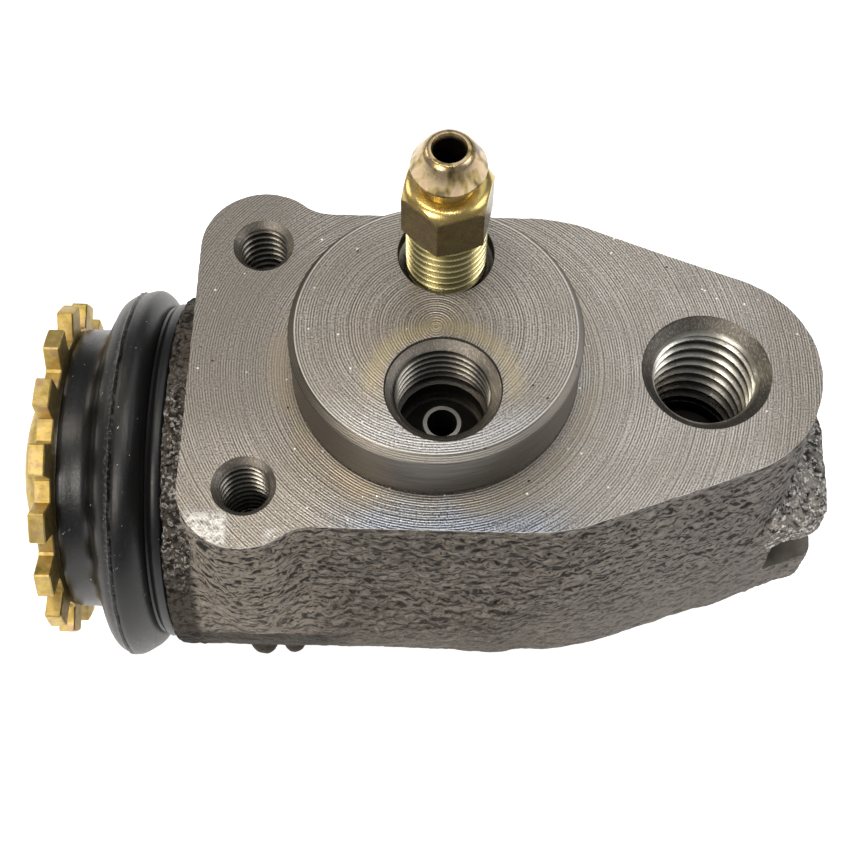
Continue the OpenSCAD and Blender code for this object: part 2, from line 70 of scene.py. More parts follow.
# Edges and hollows of the casting: radii where its forms meet or end
WALL_EDGE, WALL_EDGE_GAIN, BARREL_EDGE, BARREL_HOLLOW = 1.3, 1.8, 0.4, 1.6
LUG_TOP, LUG_FALL, LUG_CROWN, LUG_INSET, LOW_LUG_OUT = -17.6, 0.24, 0.011, 0.2, 0.15
LUG_TOP_EDGE, LUG_FOOT_EDGE, LUG_END_EDGE, LUG_HOLLOW = 0.8, 2.4, 0.9, 1.0
# Nubs under the barrel: place along the bore, radius and angle below the bore's height
NUBS, NUB_SINK, NUB_HOLLOW = [(-19.05, 1.5, 28), (-15.5, 1.15, 27)], 0.15, 0.35
FACING_STOCK = 1.2
# Box and grid on which the cast skin is found
SKIN_LOW, SKIN_HIGH, SKIN_STEP = (-28.6, -24, -47.4), (46.2, 24, 2.2), (0.46, 0.46, 0.31)
# Sand grain: stretch and shift of each kind of lump, and where it fades towards the foot
LEATHER, FOLD = ((0.42, 0.42, 0.6), (0, 0, 0)), ((0.8, 0.8, 1.1), (9, 0, 4))
GRAIN, LUMP = ((1.5, 1.5, 1.7), (0, 7, 0)), ((0.09, 0.09, 0.09), (3, 0, 0))
SKIN_FADE_Z, SKIN_FADE_SPAN = -30, 20
EAR_TAP = dict(drill=2.5, major=3.05, pitch=1.0, depth=12.5, bevel=0.7, steps=44)
ANCHOR_TAP = dict(drill=5.1, major=6.05, pitch=1.75, depth=18, bevel=1.5, steps=72)
HEX_R, HEX_LOW, HEX_TOP, HEX_TURN = 8 / math.sqrt(3), 13.3, 19.7, 18.5
# Studio
FLOOR_Z, FLOOR_REACH, FLOOR_GLOW, FLOOR_TONE = -47.42, 6.0, 0.72, 0.82
FOCAL_PX, PICTURE_PX, SENSOR_MM = 1571.1, 850, 36.0
CAMERA_AT = (-0.03, -78.42, 138.69)
CAMERA_RIGHT, CAMERA_UP = (0.9997, 0.0236, 0.0060), (-0.0237, 0.8884, 0.4585)
ROOM_TONE, ROOM_LIGHT = (0.92, 0.95, 1.0, 1), 0.24
# Softboxes: place, width, height, power and colour
SOFTBOXES = {
    "softbox_back": ((0.1, 0.36, 0.56), 0.5, 0.36, 0.62, (1.0, 1.0, 1.0)),
    "softbox_top_left": ((-0.2, 0.05, 0.6), 0.12, 0.16, 0.8, (1.0, 0.9, 0.76)),
    "softbox_top": ((0.02, -0.03, 0.64), 0.1, 0.16, 0.65, (0.92, 0.96, 1.0)),
    "softbox_front_left": ((-0.34, -0.4, 0.5), 0.24, 0.22, 2.4, (1.0, 0.94, 0.86)),
    "softbox_right": ((0.48, 0.02, 0.4), 0.28, 0.3, 1.0, (1.0, 1.0, 1.0)),
    "softbox_left_back": ((-0.48, 0.26, 0.3), 0.2, 0.2, 0.6, (1.0, 0.93, 0.76)),
}

# Places in the body's list of finishes
FINISHES = 5
CAST, FACED, TURNED, THREAD, MILLED = range(FINISHES)


def arc(centre, r, start, stop, steps):
    turn = np.radians(np.linspace(start, stop, steps))
    return np.stack([centre[0] + r * np.cos(turn), centre[1] + r * np.sin(turn)], 1)


def mirrored(half):
    """Closed ring from one half that runs from the back to the front along +Y."""
    return np.concatenate([half, half[::-1] * (1, -1)])


lobe_reach = math.hypot(SHOULDER_X - LOBE_X, FLANGE_HALF)
lobe_angle = math.degrees(math.atan2(FLANGE_HALF, SHOULDER_X - LOBE_X) - math.acos(LOBE_R / lobe_reach))
wall_out = np.array([math.cos(math.radians(lobe_angle)), math.sin(math.radians(lobe_angle))])
wall_start = np.array([LOBE_X, 0.0]) + LOBE_R * wall_out
shoulder_back = SHOULDER_X - SHOULDER_R * math.tan(math.radians(90 - lobe_angle) / 2)
hollow_dy = FLANGE_HALF + HOLLOW_R - EAR_Y
hollow_dx = math.sqrt((EAR_R + HOLLOW_R) ** 2 - hollow_dy ** 2)
hollow_angle = math.degrees(math.atan2(hollow_dy, hollow_dx))
hollow_centre = (EAR_X + hollow_dx, EAR_Y + hollow_dy)

FLANGE_RING = mirrored(np.concatenate([
    np.array([[FLANGE_BACK, 0.5]]),
    arc((EAR_X, EAR_Y), EAR_R, 180, hollow_angle, 28),
    arc(hollow_centre, HOLLOW_R, 180 + hollow_angle, 270, 10),
    arc((shoulder_back, FLANGE_HALF - SHOULDER_R), SHOULDER_R, 90, lobe_angle, 14),
    arc((LOBE_X, 0), LOBE_R, lobe_angle, 2, 24)]))


def fork_ring(corner):
    """Outline of one lug of the fork with its corners rounded by the given radius."""
    x = FORK_X - corner
    y = (LOBE_R - corner - wall_out[0] * (x - LOBE_X)) / wall_out[1]
    return mirrored(np.concatenate([
        np.array([[LOBE_X - 6, 6.0], wall_start]),
        arc((x, y), corner, lobe_angle, 10, 8),
        np.array([[FORK_X + 0.3, 1.0]])]))


UPPER_LUG_RING, LOWER_LUG_RING = fork_ring(FORK_CORNER), fork_ring(LOW_CORNER)


def ring_distance(x, y, ring):
    """Signed distance in the plane to a closed ring, negative inside."""
    x, y = np.broadcast_arrays(x, y)
    px, py = x.ravel(), y.ravel()
    result = np.empty(px.size)
    ax, ay = ring[:, 0], ring[:, 1]
    bx, by = np.roll(ax, -1), np.roll(ay, -1)
    ex, ey = bx - ax, by - ay
    span = np.maximum(ex * ex + ey * ey, 1e-12)
    for first in range(0, px.size, 8000):
        qx, qy = px[first:first + 8000, None], py[first:first + 8000, None]
        t = np.clip(((qx - ax) * ex + (qy - ay) * ey) / span, 0, 1)
        gap = np.hypot(qx - ax - t * ex, qy - ay - t * ey).min(1)
        crossing = (ay > qy) != (by > qy)
        with np.errstate(divide="ignore", invalid="ignore"):
            beside = qx < ax + (qy - ay) * ex / np.where(ey == 0, 1e-12, ey)
        inside = (crossing & beside).sum(1) % 2 == 1
        result[first:first + 8000] = np.where(inside, -gap, gap)
    return result.reshape(x.shape)


def ease(low, high, x):
    t = np.clip((x - low) / (high - low), 0, 1)
    return t * t * (3 - 2 * t)


def flow(a, b, k):
    """Union of two distances with a soft hollow of width k."""
    h = np.maximum(k - np.abs(a - b), 0) / k
    return np.minimum(a, b) - h * h * k / 4


def rounded(a, b, r):
    """Common part of two distances with its edge rounded by r."""
    return np.minimum(-r, np.maximum(a, b)) + np.hypot(np.maximum(r + a, 0), np.maximum(r + b, 0))


def casting(x, y, z):
    """Distance to the casting's skin before any machining."""
    along = ease(-10, 9, x)
    deep = WALL_DRAFT * np.maximum(-z - 2, 0)
    wall = ring_distance(x, y, FLANGE_RING) - deep * ease(9, 22, x)
    foot = EAR_FOOT + (BLOCK_FOOT - EAR_FOOT) * along
    walls = rounded(wall, foot - z, WALL_EDGE + WALL_EDGE_GAIN * along)
    away = np.hypot(y, z - BORE_Z)
    barrel = rounded(rounded(x - BARREL_END, away - BARREL_R, BARREL_ROUND), BARREL_BACK - x, BARREL_EDGE)
    body = flow(walls, barrel, BARREL_HOLLOW)
    lug_top = LUG_TOP - LUG_FALL * np.maximum(x - SLOT_X, 0) - LUG_CROWN * y * y
    upper, lower = ring_distance(x, y, UPPER_LUG_RING), ring_distance(x, y, LOWER_LUG_RING) - LOW_LUG_OUT
    lug = np.where(z > BORE_Z, upper, lower)
    lug = rounded(lug + LUG_INSET - deep, z - lug_top, LUG_TOP_EDGE)
    lug = rounded(lug, BLOCK_FOOT - z, LUG_FOOT_EDGE)
    lug = rounded(lug, x - FORK_X + 0.25 - 0.03 * (z - BORE_Z), LUG_END_EDGE)
    body = flow(body, lug, LUG_HOLLOW)
    for nub_x, nub_r, nub_turn in NUBS:
        turn = math.radians(nub_turn)
        reach = BARREL_R - NUB_SINK
        gap = np.sqrt((x - nub_x) ** 2 + (y + reach * math.cos(turn)) ** 2
                      + (z - BORE_Z + reach * math.sin(turn)) ** 2) - nub_r
        body = flow(body, gap, NUB_HOLLOW)
    return np.maximum(body, z - FACING_STOCK)


def skin_of(distance, low, high, step):
    """Quads on the zero surface of a distance, with its points settled on it."""
    axes = [np.arange(a, b + s, s) for a, b, s in zip(low, high, step)]
    shape = tuple(len(a) for a in axes)
    field = distance(axes[0][:, None, None], axes[1][None, :, None], axes[2][None, None, :])
    field = np.broadcast_to(field, shape)
    inside = field < 0
    corners = np.array([(i, j, k) for i in (0, 1) for j in (0, 1) for k in (0, 1)])
    count = np.zeros(tuple(n - 1 for n in shape), int)
    for i, j, k in corners:
        count += inside[i:shape[0] - 1 + i, j:shape[1] - 1 + j, k:shape[2] - 1 + k]
    cells = np.argwhere((count > 0) & (count < 8))
    index = np.full(count.shape, -1)
    index[tuple(cells.T)] = np.arange(len(cells))
    value = np.stack([field[tuple((cells + c).T)] for c in corners], 1)
    total, hits = np.zeros((len(cells), 3)), np.zeros(len(cells))
    for a in range(8):
        for b in range(a + 1, 8):
            if np.abs(corners[a] - corners[b]).sum() != 1:
                continue
            cross = (value[:, a] < 0) != (value[:, b] < 0)
            share = np.where(cross, value[:, a] / np.where(cross, value[:, a] - value[:, b], 1), 0)
            total += np.where(cross[:, None], corners[a] + share[:, None] * (corners[b] - corners[a]), 0)
            hits += cross
    points = np.array(low) + (cells + total / hits[:, None]) * np.array(step)
    quads = []
    for axis in range(3):
        before = [slice(None)] * 3
        after = [slice(None)] * 3
        before[axis], after[axis] = slice(0, -1), slice(1, None)
        starts_in = inside[tuple(before)]
        edges = np.argwhere(starts_in != inside[tuple(after)])
        u, v = (axis + 1) % 3, (axis + 2) % 3
        du, dv = np.eye(3, dtype=int)[u], np.eye(3, dtype=int)[v]
        loop = np.stack([index[tuple((edges - s).T)] for s in (du + dv, dv, 0 * du, du)], 1)
        out = starts_in[tuple(edges.T)]
        quads.append(np.where(out[:, None], loop, loop[:, ::-1]))
    nudge = 0.02
    for _ in range(3):
        level = distance(*points.T)
        ahead = [distance(*(points + nudge * np.eye(3)[a]).T) for a in range(3)]
        slope = np.stack([there - level for there in ahead], 1) / nudge
        square = np.maximum((slope ** 2).sum(1), 0.2)
        points = points - np.clip(level / square, -0.3, 0.3)[:, None] * slope
    return points, np.concatenate(quads), slope / np.sqrt(square)[:, None]


def solid(name, points, faces, marks=0):
    """Mesh object from points in millimetres, with a finish number for each face."""
    mesh = bpy.data.meshes.new(name)
    mesh.from_pydata([tuple(p) for p in points], [], [tuple(f) for f in faces])
    marks = np.broadcast_to(np.asarray(marks, np.int32), (len(mesh.polygons),))
    obj = bpy.data.objects.new(name, mesh)
    bpy.context.scene.collection.objects.link(obj)
    for _ in range(FINISHES):
        mesh.materials.append(None)
    mesh.polygons.foreach_set("material_index", np.ascontiguousarray(marks))
    mesh.update()
    return obj


def upright(x, y):
    """Lathe frame: radius and height about a vertical axis."""
    return lambda r, h, turn: np.stack([x + r * np.cos(turn), y + r * np.sin(turn), h + 0 * turn], -1)


def on_bore(r, h, turn):
    """Lathe frame: radius and place along the bore's axis."""
    return np.stack([h + 0 * turn, r * np.sin(turn), BORE_Z - r * np.cos(turn)], -1)


def lathe(name, profile, steps, frame_of, marks=0):
    """Closed solid turned from a profile of (radius, height) that starts and ends on the axis."""
    turn = 2 * np.pi * np.arange(steps) / steps
    rings = profile[1:-1]
    points = [frame_of(np.float64(0), np.float64(profile[0][1]), np.float64(0))[None]]
    for r, h in rings:
        points.append(frame_of(r, np.full(steps, float(h)), turn))
    points.append(frame_of(np.float64(0), np.float64(profile[-1][1]), np.float64(0))[None])
    points = np.concatenate(points)
    last = len(points) - 1
    faces, numbers = [], []
    given = marks if isinstance(marks, (list, tuple)) else [marks] * (len(profile) - 1)
    for i in range(steps):
        j = (i + 1) % steps
        faces.append((0, 1 + j, 1 + i))
        numbers.append(given[0])
        for n in range(len(rings) - 1):
            a, b = 1 + n * steps, 1 + (n + 1) * steps
            faces.append((a + i, a + j, b + j, b + i))
            numbers.append(given[n + 1])
        a = 1 + (len(rings) - 1) * steps
        faces.append((a + i, a + j, last))
        numbers.append(given[-1])
    obj = solid(name, points, faces, numbers)
    face_out(obj)
    return obj


def face_out(obj):
    """Turns a closed solid's faces outwards."""
    work = bmesh.new()
    work.from_mesh(obj.data)
    if work.calc_volume(signed=True) < 0:
        bmesh.ops.reverse_faces(work, faces=work.faces)
        work.to_mesh(obj.data)
    work.free()


def helix(name, x, y, low, high, pitch, crest, root, steps, mark):
    """Threaded rod about a vertical axis; each pitch has a flat crest, two flanks and a flat root."""
    shares, radii = (0, 0.14, 0.5, 0.64), (crest, crest, root, root)
    per = len(shares)
    rows = int(round((high - low) / pitch)) * per
    points = []
    for j in range(rows + per + 1):
        h = low + pitch * (j // per + shares[j % per])
        turn = 2 * np.pi * np.arange(steps) / steps
        if j > rows:
            turn = turn[:1]
        r = radii[j % per]
        rise = h + pitch * turn / (2 * np.pi)
        points.append(np.stack([x + r * np.cos(turn), y + r * np.sin(turn), rise], 1))
    starts = np.cumsum([0] + [len(p) for p in points])
    points = np.concatenate(points)

    def at(j, i):
        return starts[j] + i if i < steps else starts[j + per]

    faces = []
    for j in range(rows):
        for i in range(steps):
            faces.append((at(j, i), at(j, i + 1), at(j + 1, i + 1), at(j + 1, i)))
    bottom = [at(0, i) for i in range(steps)] + [at(j, 0) for j in range(per, 0, -1)]
    top = [at(rows, i) for i in range(steps)] + [at(rows + j, 0) for j in range(per, 0, -1)]
    points = np.concatenate([points, [[x, y, low - 0.2], [x, y, points[top[0]][2] + pitch + 0.2]]])
    under, over = len(points) - 2, len(points) - 1
    for k in range(len(bottom)):
        faces.append((under, bottom[(k + 1) % len(bottom)], bottom[k]))
        faces.append((over, top[k], top[(k + 1) % len(top)]))
    obj = solid(name, points, faces, mark)
    face_out(obj)
    return obj


def block(name, low, high, mark):
    corners = [(x, y, z) for x in (low[0], high[0]) for y in (low[1], high[1]) for z in (low[2], high[2])]
    faces = [(0, 1, 3, 2), (4, 6, 7, 5), (0, 4, 5, 1), (2, 3, 7, 6), (0, 2, 6, 4), (1, 5, 7, 3)]
    obj = solid(name, np.array(corners, float), faces, mark)
    face_out(obj)
    return obj


def machine(obj, tool, operation):
    """Cuts, joins or trims a solid with a tool, which is then thrown away."""
    step = obj.modifiers.new("machining", "BOOLEAN")
    step.object = tool
    step.operation = operation
    step.solver = "MANIFOLD"
    bpy.context.view_layer.objects.active = obj
    with bpy.context.temp_override(object=obj, active_object=obj):
        bpy.ops.object.modifier_apply(modifier=step.name)
    bpy.data.objects.remove(tool)


def finish_piece(obj, materials, sharp_angle, smooth_marks=()):
    """Scales to metres, gives the finishes and marks the edges that stay crisp."""
    mesh = obj.data
    mesh.transform(Matrix.Scale(MM, 4))
    for n, material in enumerate(materials):
        mesh.materials[n] = material
    while len(mesh.materials) > len(materials):
        mesh.materials.pop()
    work = bmesh.new()
    work.from_mesh(mesh)
    for face in work.faces:
        face.smooth = True
    for edge in work.edges:
        if len(edge.link_faces) != 2:
            continue
        a, b = edge.link_faces
        if a.material_index != b.material_index:
            edge.smooth = False
        elif a.material_index not in smooth_marks:
            edge.smooth = edge.calc_face_angle(0) < math.radians(sharp_angle)
    work.to_mesh(mesh)
    work.free()
    return obj


def relief(points, slope):
    """Points of the skin after the sand mould's grain has moved them."""
    moves = np.empty(len(points))
    for n, (x, y, z) in enumerate(points):
        leather, fold, grain, lump = (
            noise.noise(Vector((x * sx + dx, y * sy + dy, z * sz + dz)))
            for (sx, sy, sz), (dx, dy, dz) in (LEATHER, FOLD, GRAIN, LUMP))
        high = min(max((z - SKIN_FADE_Z) / SKIN_FADE_SPAN, 0.3), 1.0)
        move = high * (0.36 * min(leather, 0.14) + 0.42 * min(fold, 0.12)) + 0.08 * grain + 0.02
        if x > 37 and z < -15.5 or x < -24.6:
            move = 0.3 * min(fold, 0.15) + 0.2 * grain
        calm = min(max((-z - 0.4) / 1.6, 0.16), 1.0)
        moves[n] = move * calm + 0.12 * lump
    return points + slope * moves[:, None]


def tapped(body, x, y, top, drill, major, pitch, depth, bevel, steps, floor=0.6):
    """Tapped hole with a ringed bevel at its mouth."""
    mouth = drill + bevel
    rings = [(drill, top - bevel - 0.02)]
    for n in range(1, 5):
        share = n / 5
        rings.append((drill + bevel * share, top - bevel * (1 - share) + 0.015))
        rings.append((drill + bevel * share + 0.03, top - bevel * (1 - share) + 0.03))
    profile = [(0, top - depth - drill * floor), (drill, top - depth)] + rings
    profile += [(mouth, top), (mouth + 0.02, top + 0.6), (0, top + 0.6)]
    machine(body, lathe("drill", profile, steps, upright(x, y), THREAD), "DIFFERENCE")
    turns = int((depth - 2 * pitch) / pitch)
    low = top - bevel * 0.3 - turns * pitch - pitch
    tap = helix("tap", x, y, low, low + turns * pitch, pitch, major, drill - 0.04, steps, THREAD)
    machine(body, tap, "DIFFERENCE")


def cast_body():
    points, quads, slope = skin_of(casting, SKIN_LOW, SKIN_HIGH, SKIN_STEP)
    body = solid("cylinder_body_casting", relief(points, slope), quads, CAST)
    face_out(body)
    machine(body, block("facing", (-60, -60, 0), (80, 60, 9), FACED), "DIFFERENCE")
    steps = [(BOSS_R - 0.16, -1.5), (BOSS_R - 0.16, 0.3), (BOSS_R, 0.5), (BOSS_R, 6.72)]
    for n in range(4):
        steps += [(BOSS_R - 0.07 - 0.15 * n, 6.78 + 0.19 * n), (BOSS_R - 0.09 - 0.15 * n, 6.93 + 0.19 * n)]
    rim = [(BOSS_R - 0.66, BOSS_H)]
    marks = [FACED] + [TURNED] * len(steps) + [FACED]
    boss = [(0, -1.5)] + steps + rim + [(0, BOSS_H)]
    machine(body, lathe("boss", boss, 160, upright(0, 0), marks), "UNION")
    lip = [(0, LIP_BACK), (LIP_R - 0.3, LIP_BACK), (LIP_R, LIP_BACK + 0.3), (LIP_R, GROOVE_X),
           (GROOVE_R, GROOVE_X), (GROOVE_R, BARREL_BACK + 1), (0, BARREL_BACK + 1)]
    machine(body, lathe("lip", lip, 120, on_bore, MILLED), "UNION")
    bore = [(0, LIP_BACK - 1), (BORE_R + 2, LIP_BACK - 1), (BORE_R, LIP_BACK + 1), (BORE_R, 6), (0, 6)]
    machine(body, lathe("bore", bore, 120, on_bore, MILLED), "DIFFERENCE")
    slot = block("slot", (SLOT_X, -22, BORE_Z - SLOT_HALF), (50, 22, BORE_Z + SLOT_HALF), MILLED)
    machine(body, slot, "DIFFERENCE")
    for side in (-1, 1):
        tapped(body, EAR_X, side * EAR_Y, 0, **EAR_TAP)
    tapped(body, LOBE_X, 0, 0, **ANCHOR_TAP)
    inlet = [(0, -2.2), (4.3, -2.2), (4.3, 0.6), (5.05, 0.9), (5.05, 1.6), (4.5, 1.9), (4.5, 6.4),
             (4.7, 6.62), (4.78, 6.66), (5.1, 6.98), (5.18, 7.0), (5.5, 7.3), (5.56, 7.33), (5.7, 7.6),
             (5.75, 8.4), (0, 8.4)]
    machine(body, lathe("inlet", inlet, 72, upright(PORT_X, INLET_Y), THREAD), "DIFFERENCE")
    machine(body, helix("inlet_tap", PORT_X, INLET_Y, 1.0, 7.0, 1.0, 5.06, 4.46, 72, THREAD), "DIFFERENCE")
    passage = [(0, -16), (1.5, -16), (1.5, -3), (2.5, -3), (2.5, -2), (0, -2)]
    machine(body, lathe("passage", passage, 32, upright(PORT_X, INLET_Y), THREAD), "DIFFERENCE")
    bleed = [(0, -16), (1.5, -16), (1.5, -5.2), (3.3, -3.2), (3.3, -0.8), (4.06, -0.6), (4.06, 5.9),
             (4.75, 6.1), (4.75, 7.5), (4.85, 7.6), (4.85, 8.4), (0, 8.4)]
    machine(body, lathe("bleed", bleed, 64, upright(PORT_X, BLEEDER_Y), THREAD), "DIFFERENCE")
    return body


def bleeder():
    at = upright(PORT_X, BLEEDER_Y)
    screw = helix("bleeder_screw_zinc", PORT_X, BLEEDER_Y, -0.7, 13.3, 1.0, 4.0, 3.4, 64, 0)
    low_end = [(0, -5.6), (0.8, -5.6), (3, -3.4), (3, -0.4), (3.35, 0.1), (3.35, 0.6), (0, 0.6)]
    machine(screw, lathe("low_end", low_end, 48, at), "UNION")
    turn = np.radians(HEX_TURN + 60 * np.arange(6))
    ring = np.stack([PORT_X + HEX_R * np.cos(turn), BLEEDER_Y + HEX_R * np.sin(turn)], 1)
    points = np.concatenate([np.c_[ring, np.full(6, HEX_LOW)], np.c_[ring, np.full(6, HEX_TOP)]])
    sides = [(i, (i + 1) % 6, 6 + (i + 1) % 6, 6 + i) for i in range(6)]
    hexagon = solid("hexagon", points, sides + [tuple(range(5, -1, -1)), tuple(range(6, 12))])
    face_out(hexagon)
    bevels = [(0, 13.25), (3.7, 13.25), (4.7, 13.8), (4.7, 18.35), (4.25, 19.1), (3.9, 19.5), (3.3, 19.75),
              (0, 19.75)]
    machine(hexagon, lathe("bevels", bevels, 72, at), "INTERSECT")
    machine(screw, hexagon, "UNION")
    nipple = [(0, 19.2), (2.7, 19.2), (2.62, 19.8), (2.5, 20.2), (2.5, 20.95), (2.6, 21.2), (3.3, 21.62),
              (3.54, 21.82), (3.6, 22.05), (3.54, 22.3), (2.5, 24.12), (2.38, 24.3), (2.2, 24.44),
              (2.1, 24.54), (1.95, 24.6), (1.72, 24.6), (0, 24.6)]
    machine(screw, lathe("nipple", nipple, 64, at), "UNION")
    hole = [(0, -2.2), (1.45, -1.6), (1.45, 24.2), (1.6, 24.45), (1.75, 24.7), (0, 24.7)]
    machine(screw, lathe("hole", hole, 40, at), "DIFFERENCE")
    return screw


def boot():
    """Rubber boot: bead on the barrel, rolled bulge with its moulding line, neck on the piston."""
    bead = BARREL_BACK - 0.06
    outer = [(GROOVE_R + 0.02, bead), (18.75, bead), (19.0, bead - 0.12), (19.14, bead - 0.4),
             (19.14, bead - 1.0), (19.02, bead - 1.3), (18.72, bead - 1.46), (18.6, bead - 1.62),
             (18.72, bead - 1.86)]
    for turn in np.radians(np.linspace(16, 172, 30)):
        outer.append((18.05 + 2.85 * math.sin(turn) ** 0.86, BULGE_X + 2.78 * math.cos(turn)))
    outer += [(18.2, -35.8), (17.6, -36.05), (17.0, -36.25), (16.5, -36.5), (16.15, -36.9), (16.0, -37.5),
              (15.96, -38.5), (16.0, -39.4), (15.95, -39.85), (15.75, -40.08)]
    inner = [(14.4, -40.1), (14.3, -39.3), (13.18, -39.25), (13.18, -37.55), (14.3, -37.5), (14.35, -34.6),
             (15.2, -34.1), (16.8, -34.05)]
    for turn in np.radians(np.linspace(150, 40, 10)):
        inner.append((18.2 + 1.25 * math.sin(turn), BULGE_X + 1.25 * math.cos(turn)))
    inner += [(18.36, GROOVE_X - 1.9), (18.36, GROOVE_X - 0.02), (GROOVE_R + 0.02, GROOVE_X + 0.05)]
    profile = outer + inner
    on_bulge = [n for n in range(len(outer)) if outer[n][0] >= 19.5]
    crest = min(on_bulge, key=lambda n: abs(outer[n][1] - BULGE_X + 0.8))
    steps = 240
    turn = 2 * np.pi * np.arange(steps) / steps
    ragged = np.array([noise.noise(Vector((7 * math.cos(t), 7 * math.sin(t), 2))) for t in turn])
    bumps = np.array([noise.noise(Vector((23 * math.cos(t), 23 * math.sin(t), 5))) for t in turn])
    points, faces = [], []
    for n, (r, h) in enumerate(profile):
        swell, drift = np.zeros(steps), np.zeros(steps)
        if n == crest:
            swell = 0.13 + 0.12 * np.maximum(ragged, -0.5) + 0.14 * bumps
            drift = 0.16 * ragged + 0.07 * bumps
        elif n == crest - 1:
            swell, drift = -0.16 + 0.03 * bumps, 0.12 * ragged
        elif n == crest + 1:
            swell = -0.05 + 0.03 * ragged
        ring = on_bore(r + swell, np.full(steps, h) + drift, turn)
        ring[:, 1:] += np.array(BOOT_SAG) * ease(-31.2, -33.2, h) * ease(-36.4, -34.4, h)
        points.append(ring)
    points = np.concatenate(points)
    for n in range(len(profile)):
        a, b = n * steps, (n + 1) % len(profile) * steps
        for i in range(steps):
            j = (i + 1) % steps
            faces.append((a + i, a + j, b + j, b + i))
    piece = solid("dust_boot_rubber", points, faces)
    face_out(piece)
    return piece


def star_wheel():
    """Toothed adjuster nut with bevelled teeth and a shank inside the piston."""
    ring = []
    for tooth in range(STAR_TEETH):
        middle = math.radians(STAR_PHASE + tooth * 360 / STAR_TEETH)
        gap = math.pi / STAR_TEETH
        for r, across in ((STAR_ROOT, -2.15), (STAR_ROOT + 0.2, -1.86), (STAR_R - 0.16, -1.7),
                          (STAR_R - 0.02, -1.54), (STAR_R, 0), (STAR_R - 0.02, 1.54), (STAR_R - 0.16, 1.7),
                          (STAR_ROOT + 0.2, 1.86), (STAR_ROOT, 2.15)):
            ring.append((r, middle + across / r))
        ring.append((STAR_ROOT, middle + gap))
    flat = np.array([(r * math.cos(t), r * math.sin(t)) for r, t in ring])
    ahead, behind = np.roll(flat, -1, 0) - flat, flat - np.roll(flat, 1, 0)
    along = sum(run / np.linalg.norm(run, axis=1)[:, None] for run in (ahead, behind))
    normal = np.stack([along[:, 1], -along[:, 0]], 1)
    normal /= np.linalg.norm(normal, axis=1)[:, None]
    layers = [(0.15, STAR_X), (0, STAR_X + 0.13), (0, STAR_X + STAR_T - 0.13), (0.15, STAR_X + STAR_T)]
    count = len(flat)
    points = []
    for inward, x in layers:
        p = flat - normal * inward
        points.append(np.stack([np.full(count, x), p[:, 1], BORE_Z - p[:, 0]], 1))
    points.append(np.array([[STAR_X, 0, BORE_Z], [STAR_X + STAR_T, 0, BORE_Z]]))
    points = np.concatenate(points)
    first, last = len(layers) * count, len(layers) * count + 1
    faces = []
    for i in range(count):
        j = (i + 1) % count
        for n in range(len(layers) - 1):
            a, b = n * count, (n + 1) * count
            faces.append((a + i, a + j, b + j, b + i))
        faces.append((first, j, i))
        a = (len(layers) - 1) * count
        faces.append((last, a + i, a + j))
    wheel = solid("adjuster_star_wheel_zinc", points, faces)
    face_out(wheel)
    shank = [(0, STAR_X + 0.4), (9, STAR_X + 0.4), (9, -22.8), (8.7, -22.5), (0, -22.5)]
    machine(wheel, lathe("shank", shank, 72, on_bore), "UNION")
    hole = [(0, STAR_X - 1), (6.6, STAR_X - 1), (6.6, STAR_X + 0.05), (6.05, STAR_X + 0.6), (6.05, -21.4),
            (0, -21.4)]
    machine(wheel, lathe("hole", hole, 64, on_bore), "DIFFERENCE")
    return wheel


def adjuster_screw():
    neck = HEAD_X + HEAD_T
    end = neck + SCREW_LEN
    dome = [(0, HEAD_X), (3.2, HEAD_X + 0.03), (5.2, HEAD_X + 0.15), (6.6, HEAD_X + 0.36),
            (7.6, HEAD_X + 0.68), (8.3, HEAD_X + 1.05), (8.75, HEAD_X + 1.5), (8.96, HEAD_X + 1.95),
            (9, HEAD_X + 2.4), (9, neck - 0.25), (8.75, neck), (SCREW_ROOT, neck), (SCREW_ROOT, end - 0.6),
            (SCREW_ROOT - 0.6, end), (0, end)]
    screw = lathe("adjuster_screw_zinc", dome, 96, on_bore)
    slot = block("screw_slot", (HEAD_X - 1, -12, BORE_Z - 2.5), (HEAD_X + 2.4, 12, BORE_Z + 2.5), 0)
    machine(screw, slot, "DIFFERENCE")
    thread = helix("screw_thread", 0, 0, neck - 1.0, end - 3 * SCREW_PITCH, SCREW_PITCH,
                   SCREW_R, SCREW_ROOT - 0.05, 64, 0)
    thread.data.transform(Matrix.Translation((0, 0, BORE_Z)) @ Matrix.Rotation(math.pi / 2, 4, "Y"))
    machine(screw, thread, "UNION")
    return screw


def coil_spring():
    """Round wire wound between the cup and the closed end of the bore."""
    start, stop, wire, turns, sides, per = -6.4 + 0.6, 6 - 0.6, 0.6, 4, 14, 48
    count = turns * per
    points, faces = [], []
    for i in range(count + 1):
        turn = 2 * math.pi * i / per
        for j in range(sides):
            side = 2 * math.pi * j / sides
            r = 10.5 + wire * math.cos(side)
            x = start + (stop - start) * i / count + wire * math.sin(side)
            points.append((x, r * math.sin(turn), BORE_Z - r * math.cos(turn)))
    for i in range(count):
        for j in range(sides):
            a, b = i * sides + j, i * sides + (j + 1) % sides
            faces.append((a, b, b + sides, a + sides))
    faces += [tuple(range(sides)), tuple(count * sides + j for j in range(sides - 1, -1, -1))]
    spring = solid("cup_spring_wire", np.array(points), faces)
    face_out(spring)
    return spring


